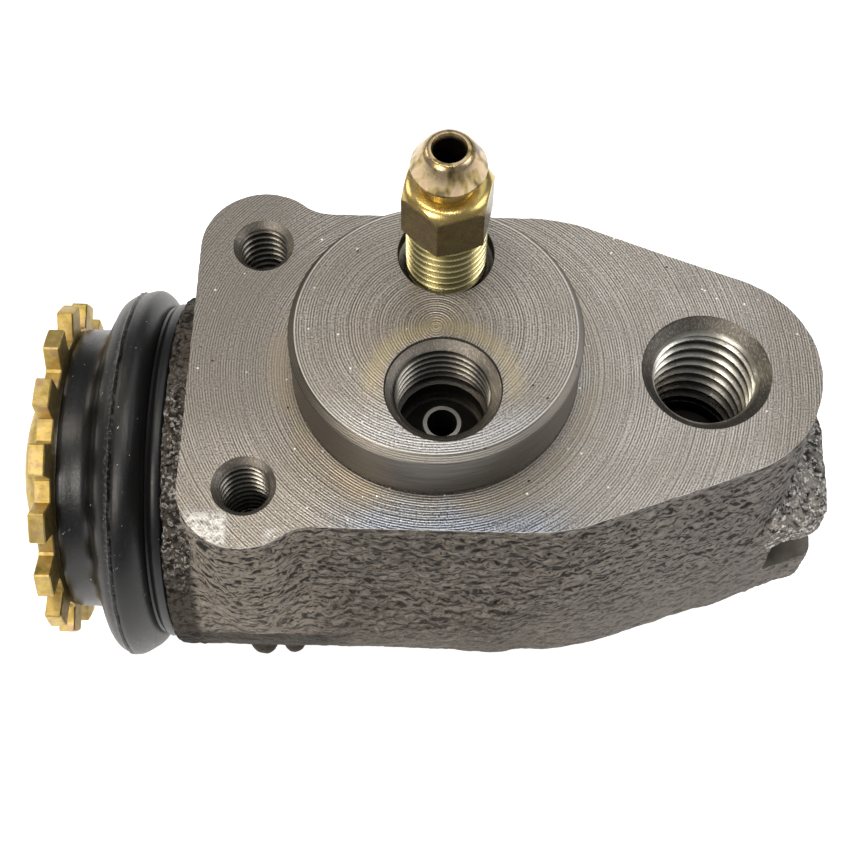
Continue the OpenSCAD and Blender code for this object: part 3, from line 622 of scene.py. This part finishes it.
class Val:
    """A shader value that takes part in sums; each sum adds a Math node."""

    def __init__(self, finish, socket):
        self.finish, self.socket = finish, socket

    def math(self, operation, *others):
        return self.finish.node("Math", {"operation": operation}, dict(enumerate((self,) + others)))

    def __add__(self, other):
        return self.math("ADD", other)

    def __mul__(self, other):
        return self.math("MULTIPLY", other)

    def __sub__(self, other):
        return self.math("SUBTRACT", other)

    def __pow__(self, other):
        return self.math("POWER", other)

    def __rsub__(self, other):
        return self.finish.node("Math", {"operation": "SUBTRACT"}, {0: other, 1: self})

    __radd__, __rmul__ = __add__, __mul__

    def between(self, low, high):
        """Smooth step from 0 at low to 1 at high."""
        return self.finish.node("MapRange", {"interpolation_type": "SMOOTHSTEP"},
                                {"Value": self, "From Min": low, "From Max": high})

    def part(self, axis):
        return self.finish.node("SeparateXYZ", {}, {"Vector": self}, out=axis)


class Finish:
    """One material: a Principled shader and the nodes that feed it."""

    def __init__(self, name):
        self.material = bpy.data.materials.new(name)
        self.material.use_nodes = True
        self.tree = self.material.node_tree
        self.shader = self.tree.nodes["Principled BSDF"]
        place = self.node("TexCoord", {}, {}, out="Object")
        self.mm = self.node("VectorMath", {"operation": "SCALE"}, {0: place, "Scale": 1 / MM})

    def node(self, kind, settings, sockets, out=0):
        made = self.tree.nodes.new("ShaderNode" + kind)
        for key, value in settings.items():
            if key == "stops":
                ramp = made.color_ramp.elements
                while len(ramp) < len(value):
                    ramp.new(0.5)
                for stop, (at, colour) in zip(ramp, value):
                    stop.position, stop.color = at, colour + (1,)
            else:
                setattr(made, key, value)
        for key, value in sockets.items():
            self.feed(made.inputs[key], value)
        return Val(self, made.outputs[out])

    def feed(self, socket, value):
        if isinstance(value, Val):
            self.tree.links.new(value.socket, socket)
        elif isinstance(value, tuple) and len(value) == 3 and socket.type == "RGBA":
            socket.default_value = value + (1,)
        else:
            socket.default_value = value

    def stretched(self, x, y, z, shift=0.0):
        sockets = {"Vector": self.mm, "Scale": (x, y, z), "Location": (shift, shift, shift)}
        return self.node("Mapping", {}, sockets)

    def noise(self, vector, scale=1.0, detail=2.0, rough=0.5):
        sockets = {"Vector": vector, "Scale": scale, "Detail": detail, "Roughness": rough}
        return self.node("TexNoise", {}, sockets)

    def cells(self, vector, scale, out="Distance"):
        return self.node("TexVoronoi", {}, {"Vector": vector, "Scale": scale}, out=out)

    def mix(self, share, a, b):
        """Colour mix of a and b."""
        return self.node("Mix", {"data_type": "RGBA"}, {0: share, 6: a, 7: b}, out=2)

    def tint(self, share, base, colour):
        """Base darkened towards a colour, which keeps its pattern."""
        settings = {"data_type": "RGBA", "blend_type": "MULTIPLY"}
        return self.node("Mix", settings, {0: share, 6: base, 7: colour}, out=2)

    def bump(self, height, distance, strength):
        return self.node("Bump", {}, {"Height": height, "Distance": distance * MM, "Strength": strength})

    def from_axis(self, x, y):
        """Distance from a vertical axis."""
        dx, dy = self.mm.part(0) - x, self.mm.part(1) - y
        return (dx * dx + dy * dy) ** 0.5

    def set(self, **sockets):
        for key, value in sockets.items():
            self.feed(self.shader.inputs[key.replace("_", " ")], value)
        return self.material


def cast_iron():
    f = Finish("cast_iron_skin")
    x, y, z = f.mm.part(0), f.mm.part(1), f.mm.part(2)
    swirl = f.node("TexNoise", {}, {"Vector": f.mm, "Scale": 0.6, "Detail": 1.0}, out="Color")
    bent = f.node("VectorMath", {"operation": "MULTIPLY_ADD"}, {0: swirl, 1: (1.0, 1.0, 1.4), 2: f.mm})

    def lumps(wide, tall, shift):
        """Height of lumps of the sand mould, and how far they hang over what lies below them."""
        scale = (wide, wide, tall)
        here, above = ({"Vector": bent, "Scale": scale, "Location": (shift, shift, shift + rise)}
                       for rise in (0, 0.3))
        height = f.noise(f.node("Mapping", {}, here), 1.0, 1.0, 0.4)
        return height, f.noise(f.node("Mapping", {}, above), 1.0, 1.0, 0.4) - height

    leather, leather_hang = lumps(0.86, 0.92, 0.0)
    fold, fold_hang = lumps(1.55, 1.6, 9.0)
    high = z.between(-36.0, -13.0) * 0.6 + 0.4
    grain = f.noise(f.mm, 3.6, 3.0, 0.7)
    cloud = f.noise(f.mm, 0.11, 3.0, 0.6)
    tail = 1 - x.between(-25.6, -24.6)
    lug = x.between(36.6, 37.4) * (1 - z.between(-17.5, -15.5)) * z.between(-24.5, -23.5)
    glint = tail * z.between(-20.0, -14.0) * (1 - y.between(-4.0, 4.0))
    flake = f.cells(f.mm, 3.2, "Color").part(0).between(0.5, 0.85) * (lug * 0.9 + glint * 0.45)
    height = leather.between(0.25, 0.75) * high + fold.between(0.25, 0.75) * high * 0.6
    height = height + grain * 0.22 + flake * 0.25
    base = f.mix(cloud.between(0.35, 0.65), (0.16, 0.138, 0.115), (0.225, 0.197, 0.167))
    # Painted light: the wall at the ear end is lightened as if lit from the left
    base = f.mix((1 - x.between(-15.0, -9.0)) * 0.46, base, (0.46, 0.4, 0.335))
    base = f.mix(grain.between(0.5, 0.7) * 0.4, base, (0.4, 0.358, 0.31))
    base = f.mix((1 - grain.between(0.32, 0.47)) * 0.4, base, (0.07, 0.06, 0.049))
    base = f.mix(x.between(8.0, 24.0) * 0.42, base, (0.36, 0.338, 0.318))
    # Painted highlight on the upper sides of the sand lumps
    base = f.mix((0 - leather_hang).between(0.02, 0.14) * high * 0.42, base, (0.46, 0.415, 0.365))
    # Painted shade under the lumps, where they hang over the skin below
    base = f.mix(leather_hang.between(0.02, 0.12) * high * 0.92, base, (0.014, 0.012, 0.01))
    base = f.mix(fold_hang.between(0.03, 0.13) * high * 0.85, base, (0.012, 0.01, 0.008))
    # Painted shadow on the barrel under the foot of the ear
    under = (1 - z.between(-26.4, -25.0)) * (1 - x.between(-12.0, -8.0)) * (1 - y.between(-13.0, -11.0))
    base = f.mix(under * 0.8, base, (0.02, 0.017, 0.012))
    # Painted shade on the barrel strip between the flange and the boot
    base = f.mix(tail * 0.8, base, (0.022, 0.018, 0.014))
    base = f.mix(flake * grain.between(0.4, 0.56), base, (0.85, 0.82, 0.77))
    # Bright band along the walls' top edge: a bare-metal burr, partly a painted highlight
    rim = z.between(-0.3, -0.08) * f.noise(f.mm, 0.8, 3.0, 0.7).between(0.34, 0.5)
    base = f.mix(rim * 0.85, base, (0.7, 0.67, 0.63))
    return f.set(Base_Color=base, Metallic=rim * 0.6 + flake * 0.5, Specular_IOR_Level=0.1,
                 Roughness=0.62 - flake * 0.25 - rim * 0.25, Normal=f.bump(height, 0.55, 1.0))


def faced_iron():
    f = Finish("faced_iron")
    x, y, z = f.mm.part(0), f.mm.part(1), f.mm.part(2)
    r = f.from_axis(0, 0)
    waver = f.noise(f.mm, 0.25, 2.0)
    run = r + waver * 0.15
    line = f.node("CombineXYZ", {}, {"X": run, "Y": 0.0, "Z": 0.0})
    feed = (run * (2 * math.pi / RING_PITCH)).math("SINE")
    streak = f.noise(line, 3.4, 3.0, 0.85)
    patch = f.noise(f.mm, 0.16, 3.0, 0.6)
    grain = f.noise(f.mm, 5.0, 2.0, 0.7)
    smear = f.noise(f.mm, 0.55, 3.0, 0.6)
    quiet = (1 - x.between(-18.0, -13.0)) * y.between(-9.5, -5.0)
    rings = (feed * 0.36 * (patch * 0.8 + 0.35) + streak * 1.1) * (1 - quiet * 0.6)
    ridge = feed * 0.26 * smear.between(0.3, 0.62) + (streak - 0.5) * 1.5 * (1 - quiet * 0.5)
    ridge = ridge + (grain - 0.5) * 1.2 + 0.5
    # Painted light: the turning lines are lighter over the right part of the face, round the lobe
    lobe = x.between(2.0, 20.0) * (1 - x.between(31.0, 37.0))
    dark_line = f.mix(lobe, (0.11, 0.098, 0.084), (0.16, 0.146, 0.13))
    light_line = f.mix(lobe, (0.54, 0.494, 0.438), (0.64, 0.595, 0.54))
    # Painted reflection: bluish silver sheen with stronger turning lines on the front of the face
    low = (1 - (y + patch * 3.0).between(-16.0, -12.5)) * x.between(-13.0, -5.0)
    low = low * (1 - x.between(8.0, 18.0))
    dark_line = f.mix(low, dark_line, (0.06, 0.062, 0.066))
    light_line = f.mix(low, light_line, (0.61, 0.63, 0.67))
    base = f.mix(((ridge - 0.5) * (low * 1.3 + 1.0) + 0.5).between(0.2, 0.82), dark_line, light_line)
    base = f.mix(patch.between(0.35, 0.65) * 0.3, base, (0.26, 0.232, 0.198))
    # Left region with fainter turning marks, darkened there as painted shade
    base = f.mix(quiet * 0.35, base, (0.17, 0.15, 0.128))
    # Painted reflection: bluish tint on the front of the flange face
    base = f.tint(low * (1 - z.between(2.0, 3.0)) * 0.5, base, (0.8, 0.86, 0.96))
    # Painted highlight: bright silver turning lines on the front of the boss top
    front = (1 - (y + patch * 3.0).between(-9.5, -5.5)) * z.between(6.0, 7.0)
    base = f.mix(front * ridge.between(0.3, 0.8) * 0.6, base, (0.72, 0.74, 0.77))
    # Bright bluish spot by the ear: a polished patch, partly a painted highlight
    polish_and_highlight = (1 - f.from_axis(-15.3, -19.4).between(0.2, 1.3)) * smear.between(0.35, 0.6)
    base = f.mix(polish_and_highlight * 0.6, base, (0.8, 0.83, 0.87))
    stain_r = f.from_axis(PORT_X, INLET_Y)
    stain = stain_r.between(5.4, 6.6) * (1 - stain_r.between(6.8, 8.6)) * z.between(5.0, 6.0)
    stain = stain * y.between(INLET_Y - 2.5, INLET_Y + 1.5)
    # Painted highlight: a warm tan ring on the face round the foot of the boss
    halo = r.between(14.2, 15.2) * (1 - r.between(15.6, 18.4)) * (1 - z.between(2.0, 3.0))
    base = f.mix(stain * 0.4, base, (0.5, 0.41, 0.22))
    base = f.mix(halo * patch.between(0.3, 0.6) * 0.35, base, (0.44, 0.35, 0.23))
    dots = f.cells(f.mm, 0.75)
    spot = 1 - dots.between(0.05, 0.13)
    chance = f.cells(f.mm, 0.75, "Color").part(0)
    bright = spot * chance.between(0.66, 0.69)
    dark = spot * (1 - chance.between(0.07, 0.1))
    base = f.mix(bright * 0.95, base, (0.95, 0.93, 0.9))
    base = f.mix(dark * 0.9, base, (0.03, 0.027, 0.024))
    edge = f.noise(f.mm, 1.7, 4.0, 0.75)
    scrape = (1 - (y + edge * 5.0).between(-14.6, -13.6)) * (1 - (x + edge * 0.8).between(-19.6, -19.1))
    scrape = scrape * (x + edge * 4.0).between(-22.4, -21.4)
    base = f.mix(scrape * edge.between(0.36, 0.62) * 0.85, base, (0.86, 0.83, 0.78))
    # Painted highlight: a bright thin ring along the edge of the boss top
    rim_highlight = z.between(6.0, 7.0) * r.between(13.62, 13.78)
    base = f.mix(rim_highlight * 0.5, base, (0.75, 0.71, 0.65))
    height = rings * (1 - scrape * 0.7) + grain * 0.4 - dark * 2.0 + bright + scrape * edge * 3.0
    return f.set(Base_Color=base, Metallic=0.9, Roughness=0.3 + grain * 0.16,
                 Normal=f.bump(height, 0.035, 0.9))


def turned_iron():
    f = Finish("turned_boss_side")
    z = f.mm.part(2)
    line = f.node("CombineXYZ", {}, {"X": z, "Y": 0.0, "Z": 0.0})
    rings = f.noise(line, 4.5, 4.0, 0.8)
    smear = f.noise(f.stretched(0.25, 0.25, 3.0), 1.0, 3.0, 0.6)
    dots = 1 - f.cells(f.mm, 0.5).between(0.05, 0.12)
    base = f.mix(smear.between(0.35, 0.7), (0.1, 0.093, 0.083), (0.17, 0.157, 0.14))
    # Painted highlight: the top of the boss side is lighter
    base = f.mix(z.between(6.4, 7.2) * 0.7, base, (0.34, 0.31, 0.27))
    # Painted shade: the left side of the boss is darker
    base = f.mix((1 - f.mm.part(0).between(-12.5, -5.0)) * 0.8, base, (0.045, 0.037, 0.028))
    # Painted shade: darker at the foot of the boss, where it meets the flange
    base = f.mix((1 - z.between(0.1, 1.3)) * 0.7, base, (0.045, 0.04, 0.034))
    base = f.mix(dots * 0.6, base, (0.03, 0.027, 0.024))
    return f.set(Base_Color=base, Metallic=0.85, Roughness=0.3 + smear * 0.2,
                 Normal=f.bump(rings, 0.05, 0.7))


def thread_steel():
    f = Finish("thread_steel")
    z = f.mm.part(2)
    smear = f.noise(f.stretched(0.7, 0.7, 2.0), 1.0, 3.0, 0.6)
    grain = f.noise(f.mm, 4.0, 2.0)
    side = f.mm.part(1).math("ABSOLUTE")
    ear_x, ear_y = f.mm.part(0) - EAR_X, side - EAR_Y
    ear = (ear_x * ear_x + ear_y * ear_y) ** 0.5
    anchor, inlet = f.from_axis(LOBE_X, 0), f.from_axis(PORT_X, INLET_Y)
    small = 1 - f.mm.part(0).between(12.0, 14.0)
    root = anchor.between(5.15, 5.6) * (1 - anchor.between(6.3, 6.5)) * (1 - z.between(-1.5, -0.9))
    root = root + ear.between(2.5, 2.72) * (1 - ear.between(3.15, 3.3)) * (1 - z.between(-0.8, -0.4))
    root = root + inlet.between(4.5, 4.75) * (1 - inlet.between(5.1, 5.2)) * (1 - z.between(6.3, 6.6))
    mouth = z.between(-1.5, -1.0) * (1 - z.between(0.5, 1.0)) + z.between(6.3, 6.6)
    turned = f.noise(f.node("CombineXYZ", {}, {"X": anchor, "Y": ear, "Z": inlet}), 5.0, 3.0, 0.8)
    base = f.mix(smear.between(0.3, 0.7), (0.6, 0.57, 0.5), (0.88, 0.85, 0.77))
    base = f.mix(small * 0.8, base, (0.13, 0.115, 0.095))
    # Painted shade in the thread roots
    base = f.mix(root * 0.97, base, (0.018, 0.016, 0.013))
    base = f.mix(mouth * 0.92, base, f.mix(small, (0.06, 0.053, 0.045), (0.15, 0.135, 0.115)))
    base = f.mix(mouth * turned.between(0.48, 0.66) * 0.7, base, (0.34, 0.3, 0.25))
    # Painted shade deep inside the holes
    deep = (1 - z.between(-15.0, -4.0)) + (1 - z.between(1.2, 3.8)) * (1 - inlet.between(5.2, 5.6))
    base = f.mix(deep * 0.85, base, (0.03, 0.027, 0.023))
    # Painted shade, near black, at the bottom of the holes
    base = f.mix((1 - z.between(-17.6, -16.0)) * 0.9, base, (0.008, 0.007, 0.006))
    height = grain * 0.4 + turned * mouth * 2.0
    return f.set(Base_Color=base, Metallic=0.95, Roughness=0.2 + grain * 0.2 + mouth * 0.1,
                 Normal=f.bump(height, 0.03, 0.7))


def milled_iron():
    f = Finish("milled_iron")
    marks = f.noise(f.stretched(0.3, 6.0, 6.0), 1.0, 3.0, 0.7)
    cloud = f.noise(f.mm, 0.4, 3.0)
    base = f.mix(cloud.between(0.3, 0.7), (0.13, 0.118, 0.1), (0.2, 0.18, 0.155))
    return f.set(Base_Color=base, Metallic=0.8, Roughness=0.36 + marks * 0.2,
                 Normal=f.bump(marks, 0.03, 0.6))


def zinc(name, warm, dull, rough, bleeder=False):
    """Yellow zinc plate with a gold, olive and pink bloom; on the bleeder, painted reflection streaks on
    the nipple, painted shade in the thread roots and bore, and painted highlight on the thread crests.
    """
    f = Finish(name)
    bloom = f.noise(f.mm, 0.42, 3.0, 0.6)
    cloud = f.noise(f.stretched(1, 1, 1, 17.0), 0.9, 3.0, 0.6)
    grain = f.noise(f.mm, 4.5, 3.0, 0.7)
    base = f.node("ValToRGB", {"stops": [(0.3, (0.3, 0.25, 0.08)), (0.44, warm), (0.55, (0.62, 0.47, 0.18)),
                                         (0.68, (0.55, 0.37, 0.24))]}, {"Fac": bloom})
    base = f.mix(cloud.between(0.42, 0.66) * 0.6, base, dull)
    base = f.mix(grain.between(0.56, 0.72) * 0.4, base, (0.12, 0.085, 0.035))
    if bleeder:
        z, r = f.mm.part(2), f.from_axis(PORT_X, BLEEDER_Y)
        nose = z.between(21.1, 21.5)
        flats = z.between(13.3, 13.5) * (1 - z.between(18.5, 19.0)) * r.between(3.85, 3.98)
        # Painted reflection: vertical light and dark streaks on the nipple
        band = f.noise(f.stretched(0.75, 0.75, 0.05, 5.0), 1.0, 2.0, 0.6)
        tones = [(0.36, (0.07, 0.052, 0.035)), (0.45, (0.34, 0.25, 0.11)), (0.54, (0.56, 0.43, 0.27)),
                 (0.66, (0.5, 0.34, 0.24))]
        nose_tone = f.node("ValToRGB", {"stops": tones}, {"Fac": band})
        base = f.mix(nose * 0.8, base, nose_tone)
        base = f.mix(z.between(18.7, 19.2) * (1 - nose) * 0.6, base, (0.62, 0.46, 0.15))
        # Painted reflection: the hex flats are darkened as if they mirrored a dark room
        base = f.mix(flats * 0.75, base, (0.11, 0.088, 0.046))
        threaded = 1 - z.between(13.2, 13.4)
        base = f.mix(threaded * 0.9, base, (0.2, 0.17, 0.058))
        # Painted shade in the bleeder's thread roots
        base = f.mix((1 - r.between(3.5, 3.72)) * threaded * 0.96, base, (0.016, 0.013, 0.006))
        # Painted highlight on the bleeder's thread crests
        base = f.mix(r.between(3.84, 3.98) * threaded * 0.85, base, (0.8, 0.73, 0.44))
        # Painted shade inside the bleeder's bore
        base = f.mix((1 - r.between(1.5, 1.6)) * 0.9, base, (0.03, 0.025, 0.014))
    return f.set(Base_Color=base, Metallic=0.95, Roughness=rough + cloud * 0.14,
                 Normal=f.bump(grain, 0.015, 0.5))


def boot_rubber():
    f = Finish("boot_rubber")
    x = f.mm.part(0)
    grain = f.noise(f.mm, 2.6, 4.0, 0.65)
    band = f.noise(f.stretched(2.2, 0.16, 0.16), 1.0, 3.0, 0.6)
    near = x.between(BULGE_X - 3.2, BULGE_X - 1.2) * (1 - x.between(BULGE_X + 0.2, BULGE_X + 2.2))
    chance = f.cells(f.mm, 1.3, "Color").part(1)
    fleck = f.cells(f.node("VectorMath", {"operation": "ADD"}, {0: f.mm, 1: f.noise(f.mm, 3.0)}), 1.3)
    speck = (1 - fleck.between(0.06, 0.13)) * (chance + near * 0.25).between(0.93, 0.97)
    dust = grain.between(0.5, 0.72) * band.between(0.42, 0.66)
    ridge = x.between(BULGE_X - 1.5, BULGE_X - 0.95) * (1 - x.between(BULGE_X - 0.75, BULGE_X - 0.3))
    base = f.mix(dust * 0.5, (0.005, 0.0052, 0.006), (0.03, 0.03, 0.031))
    base = f.mix(ridge * grain.between(0.5, 0.62) * 0.5, base, (0.16, 0.15, 0.13))
    base = f.mix(speck * 0.9, base, (0.6, 0.57, 0.52))
    neck = 1 - x.between(-37.0, -36.2)
    rough = 0.27 + grain * 0.22 + speck * 0.3 - neck * 0.04
    height = grain * 0.6 + band * 0.5 + speck + ridge * grain * 2.0
    return f.set(Base_Color=base, Roughness=rough, Specular_IOR_Level=0.42,
                 Normal=f.bump(height, 0.06, 0.6))


def plain_steel(name, dark, light, rough, scale):
    f = Finish(name)
    line = f.noise(f.stretched(scale, 0.4, 0.4), 1.0, 3.0, 0.7)
    cloud = f.noise(f.mm, 0.3, 3.0)
    base = f.mix(cloud.between(0.3, 0.7) * line, dark, light)
    return f.set(Base_Color=base, Metallic=0.95, Roughness=rough + line * 0.15,
                 Normal=f.bump(line, 0.02, 0.5))


def cup_rubber():
    f = Finish("cup_rubber")
    grain = f.noise(f.mm, 2.0, 3.0)
    base = f.mix(grain, (0.014, 0.014, 0.015), (0.04, 0.04, 0.042))
    return f.set(Base_Color=base, Roughness=0.45 + grain * 0.2, Normal=f.bump(grain, 0.03, 0.5))


def place(obj, body, node, slot_name):
    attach(obj, body)
    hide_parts(node)


iron_finishes = [cast_iron(), faced_iron(), turned_iron(), thread_steel(), milled_iron()]
bleeder_zinc = zinc("bleeder_yellow_zinc", (0.5, 0.39, 0.15), (0.28, 0.22, 0.11), 0.2, True)
wheel_zinc = zinc("star_wheel_yellow_zinc", (0.56, 0.4, 0.12), (0.4, 0.28, 0.1), 0.44)

body = finish_piece(cast_body(), iron_finishes, 32, (CAST,))
place(body, "housing", "cylinder_body", "cast_body")
screw = finish_piece(bleeder(), [bleeder_zinc], 30)
place(screw, "bleeder", "bleeder_screw", "zinc_bleeder")
wheel = finish_piece(star_wheel(), [wheel_zinc], 25)
place(wheel, "star_wheel", "adjuster_star_wheel", "zinc_star_wheel")
adjuster = finish_piece(adjuster_screw(), [wheel_zinc], 35)
place(adjuster, "adjuster_screw", "adjuster_screw", "zinc_adjuster_screw")

rubber_boot = finish_piece(boot(), [boot_rubber()], 50)
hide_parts("dust_boot")
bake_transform(rubber_boot)
spring_wire = plain_steel("spring_wire", (0.3, 0.3, 0.31), (0.5, 0.5, 0.52), 0.3, 0.4)
spring = finish_piece(coil_spring(), [spring_wire], 50)
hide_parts("cup_spring")
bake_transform(spring)

node_finishes = {
    "inlet_flare_seat": plain_steel("flare_seat_steel", (0.2, 0.19, 0.17), (0.42, 0.4, 0.37), 0.28, 0.5),
    "piston": plain_steel("piston_steel", (0.4, 0.4, 0.41), (0.6, 0.6, 0.62), 0.25, 3.0),
    "piston_cup": cup_rubber(),
}
for node, material in node_finishes.items():
    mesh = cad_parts[node].data
    mesh.materials.clear()
    mesh.materials.append(material)

# Floor: pale, white to the eye and in reflections, and it keeps the soft shadow
floor_mesh = bpy.data.meshes.new("studio_floor")
corners = [(FLOOR_REACH * x, FLOOR_REACH * y, FLOOR_Z * MM)
           for x, y in ((-1, -1), (1, -1), (1, 1), (-1, 1))]
floor_mesh.from_pydata(corners, [], [(0, 1, 2, 3)])
floor = bpy.data.objects.new("studio_floor", floor_mesh)
bpy.context.scene.collection.objects.link(floor)
pale = Finish("studio_floor_white")
eye, gloss, glass = (pale.node("LightPath", {}, {}, out=ray)
                     for ray in ("Is Camera Ray", "Is Glossy Ray", "Is Transmission Ray"))
seen = (eye + gloss + glass).math("MINIMUM", 1.0)
glow = pale.node("Emission", {}, {"Color": (1.0, 1.0, 1.0), "Strength": seen * FLOOR_GLOW})
matt = pale.node("BsdfDiffuse", {}, {"Color": (FLOOR_TONE, FLOOR_TONE, FLOOR_TONE)})
both = pale.node("AddShader", {}, {0: glow, 1: matt})
pale.tree.links.new(both.socket, pale.tree.nodes["Material Output"].inputs["Surface"])
pale.tree.nodes.remove(pale.shader)
floor_mesh.materials.append(pale.material)

# Camera at the photograph's viewing angle
camera_data = bpy.data.cameras.new("studio_camera")
camera_data.sensor_width = SENSOR_MM
camera_data.lens = FOCAL_PX * SENSOR_MM / PICTURE_PX
camera_data.clip_start = 0.01
camera = bpy.data.objects.new("studio_camera", camera_data)
bpy.context.scene.collection.objects.link(camera)
right, up = Vector(CAMERA_RIGHT).normalized(), Vector(CAMERA_UP)
up = (up - right * up.dot(right)).normalized()
facing = Matrix((right, up, right.cross(up))).transposed().to_4x4()
camera.matrix_world = Matrix.Translation(Vector(CAMERA_AT) * MM) @ facing
bpy.context.scene.camera = camera


def softbox(name, stand, width, height, power, colour):
    """Rectangular lamp that is turned towards the part."""
    lamp = bpy.data.lights.new(name, "AREA")
    lamp.shape = "RECTANGLE"
    lamp.size, lamp.size_y = width, height
    lamp.energy = power
    lamp.color = colour
    obj = bpy.data.objects.new(name, lamp)
    obj.location = stand
    obj.rotation_euler = (-Vector(stand)).to_track_quat("-Z", "Y").to_euler()
    bpy.context.scene.collection.objects.link(obj)


for name, setting in SOFTBOXES.items():
    softbox(name, *setting)
world = bpy.data.worlds.new("studio_room")
world.use_nodes = True
sky = world.node_tree.nodes["Background"]
sky.inputs["Color"].default_value = ROOM_TONE
sky.inputs["Strength"].default_value = ROOM_LIGHT
bpy.context.scene.world = world
bpy.context.scene.view_settings.view_transform = "Standard"
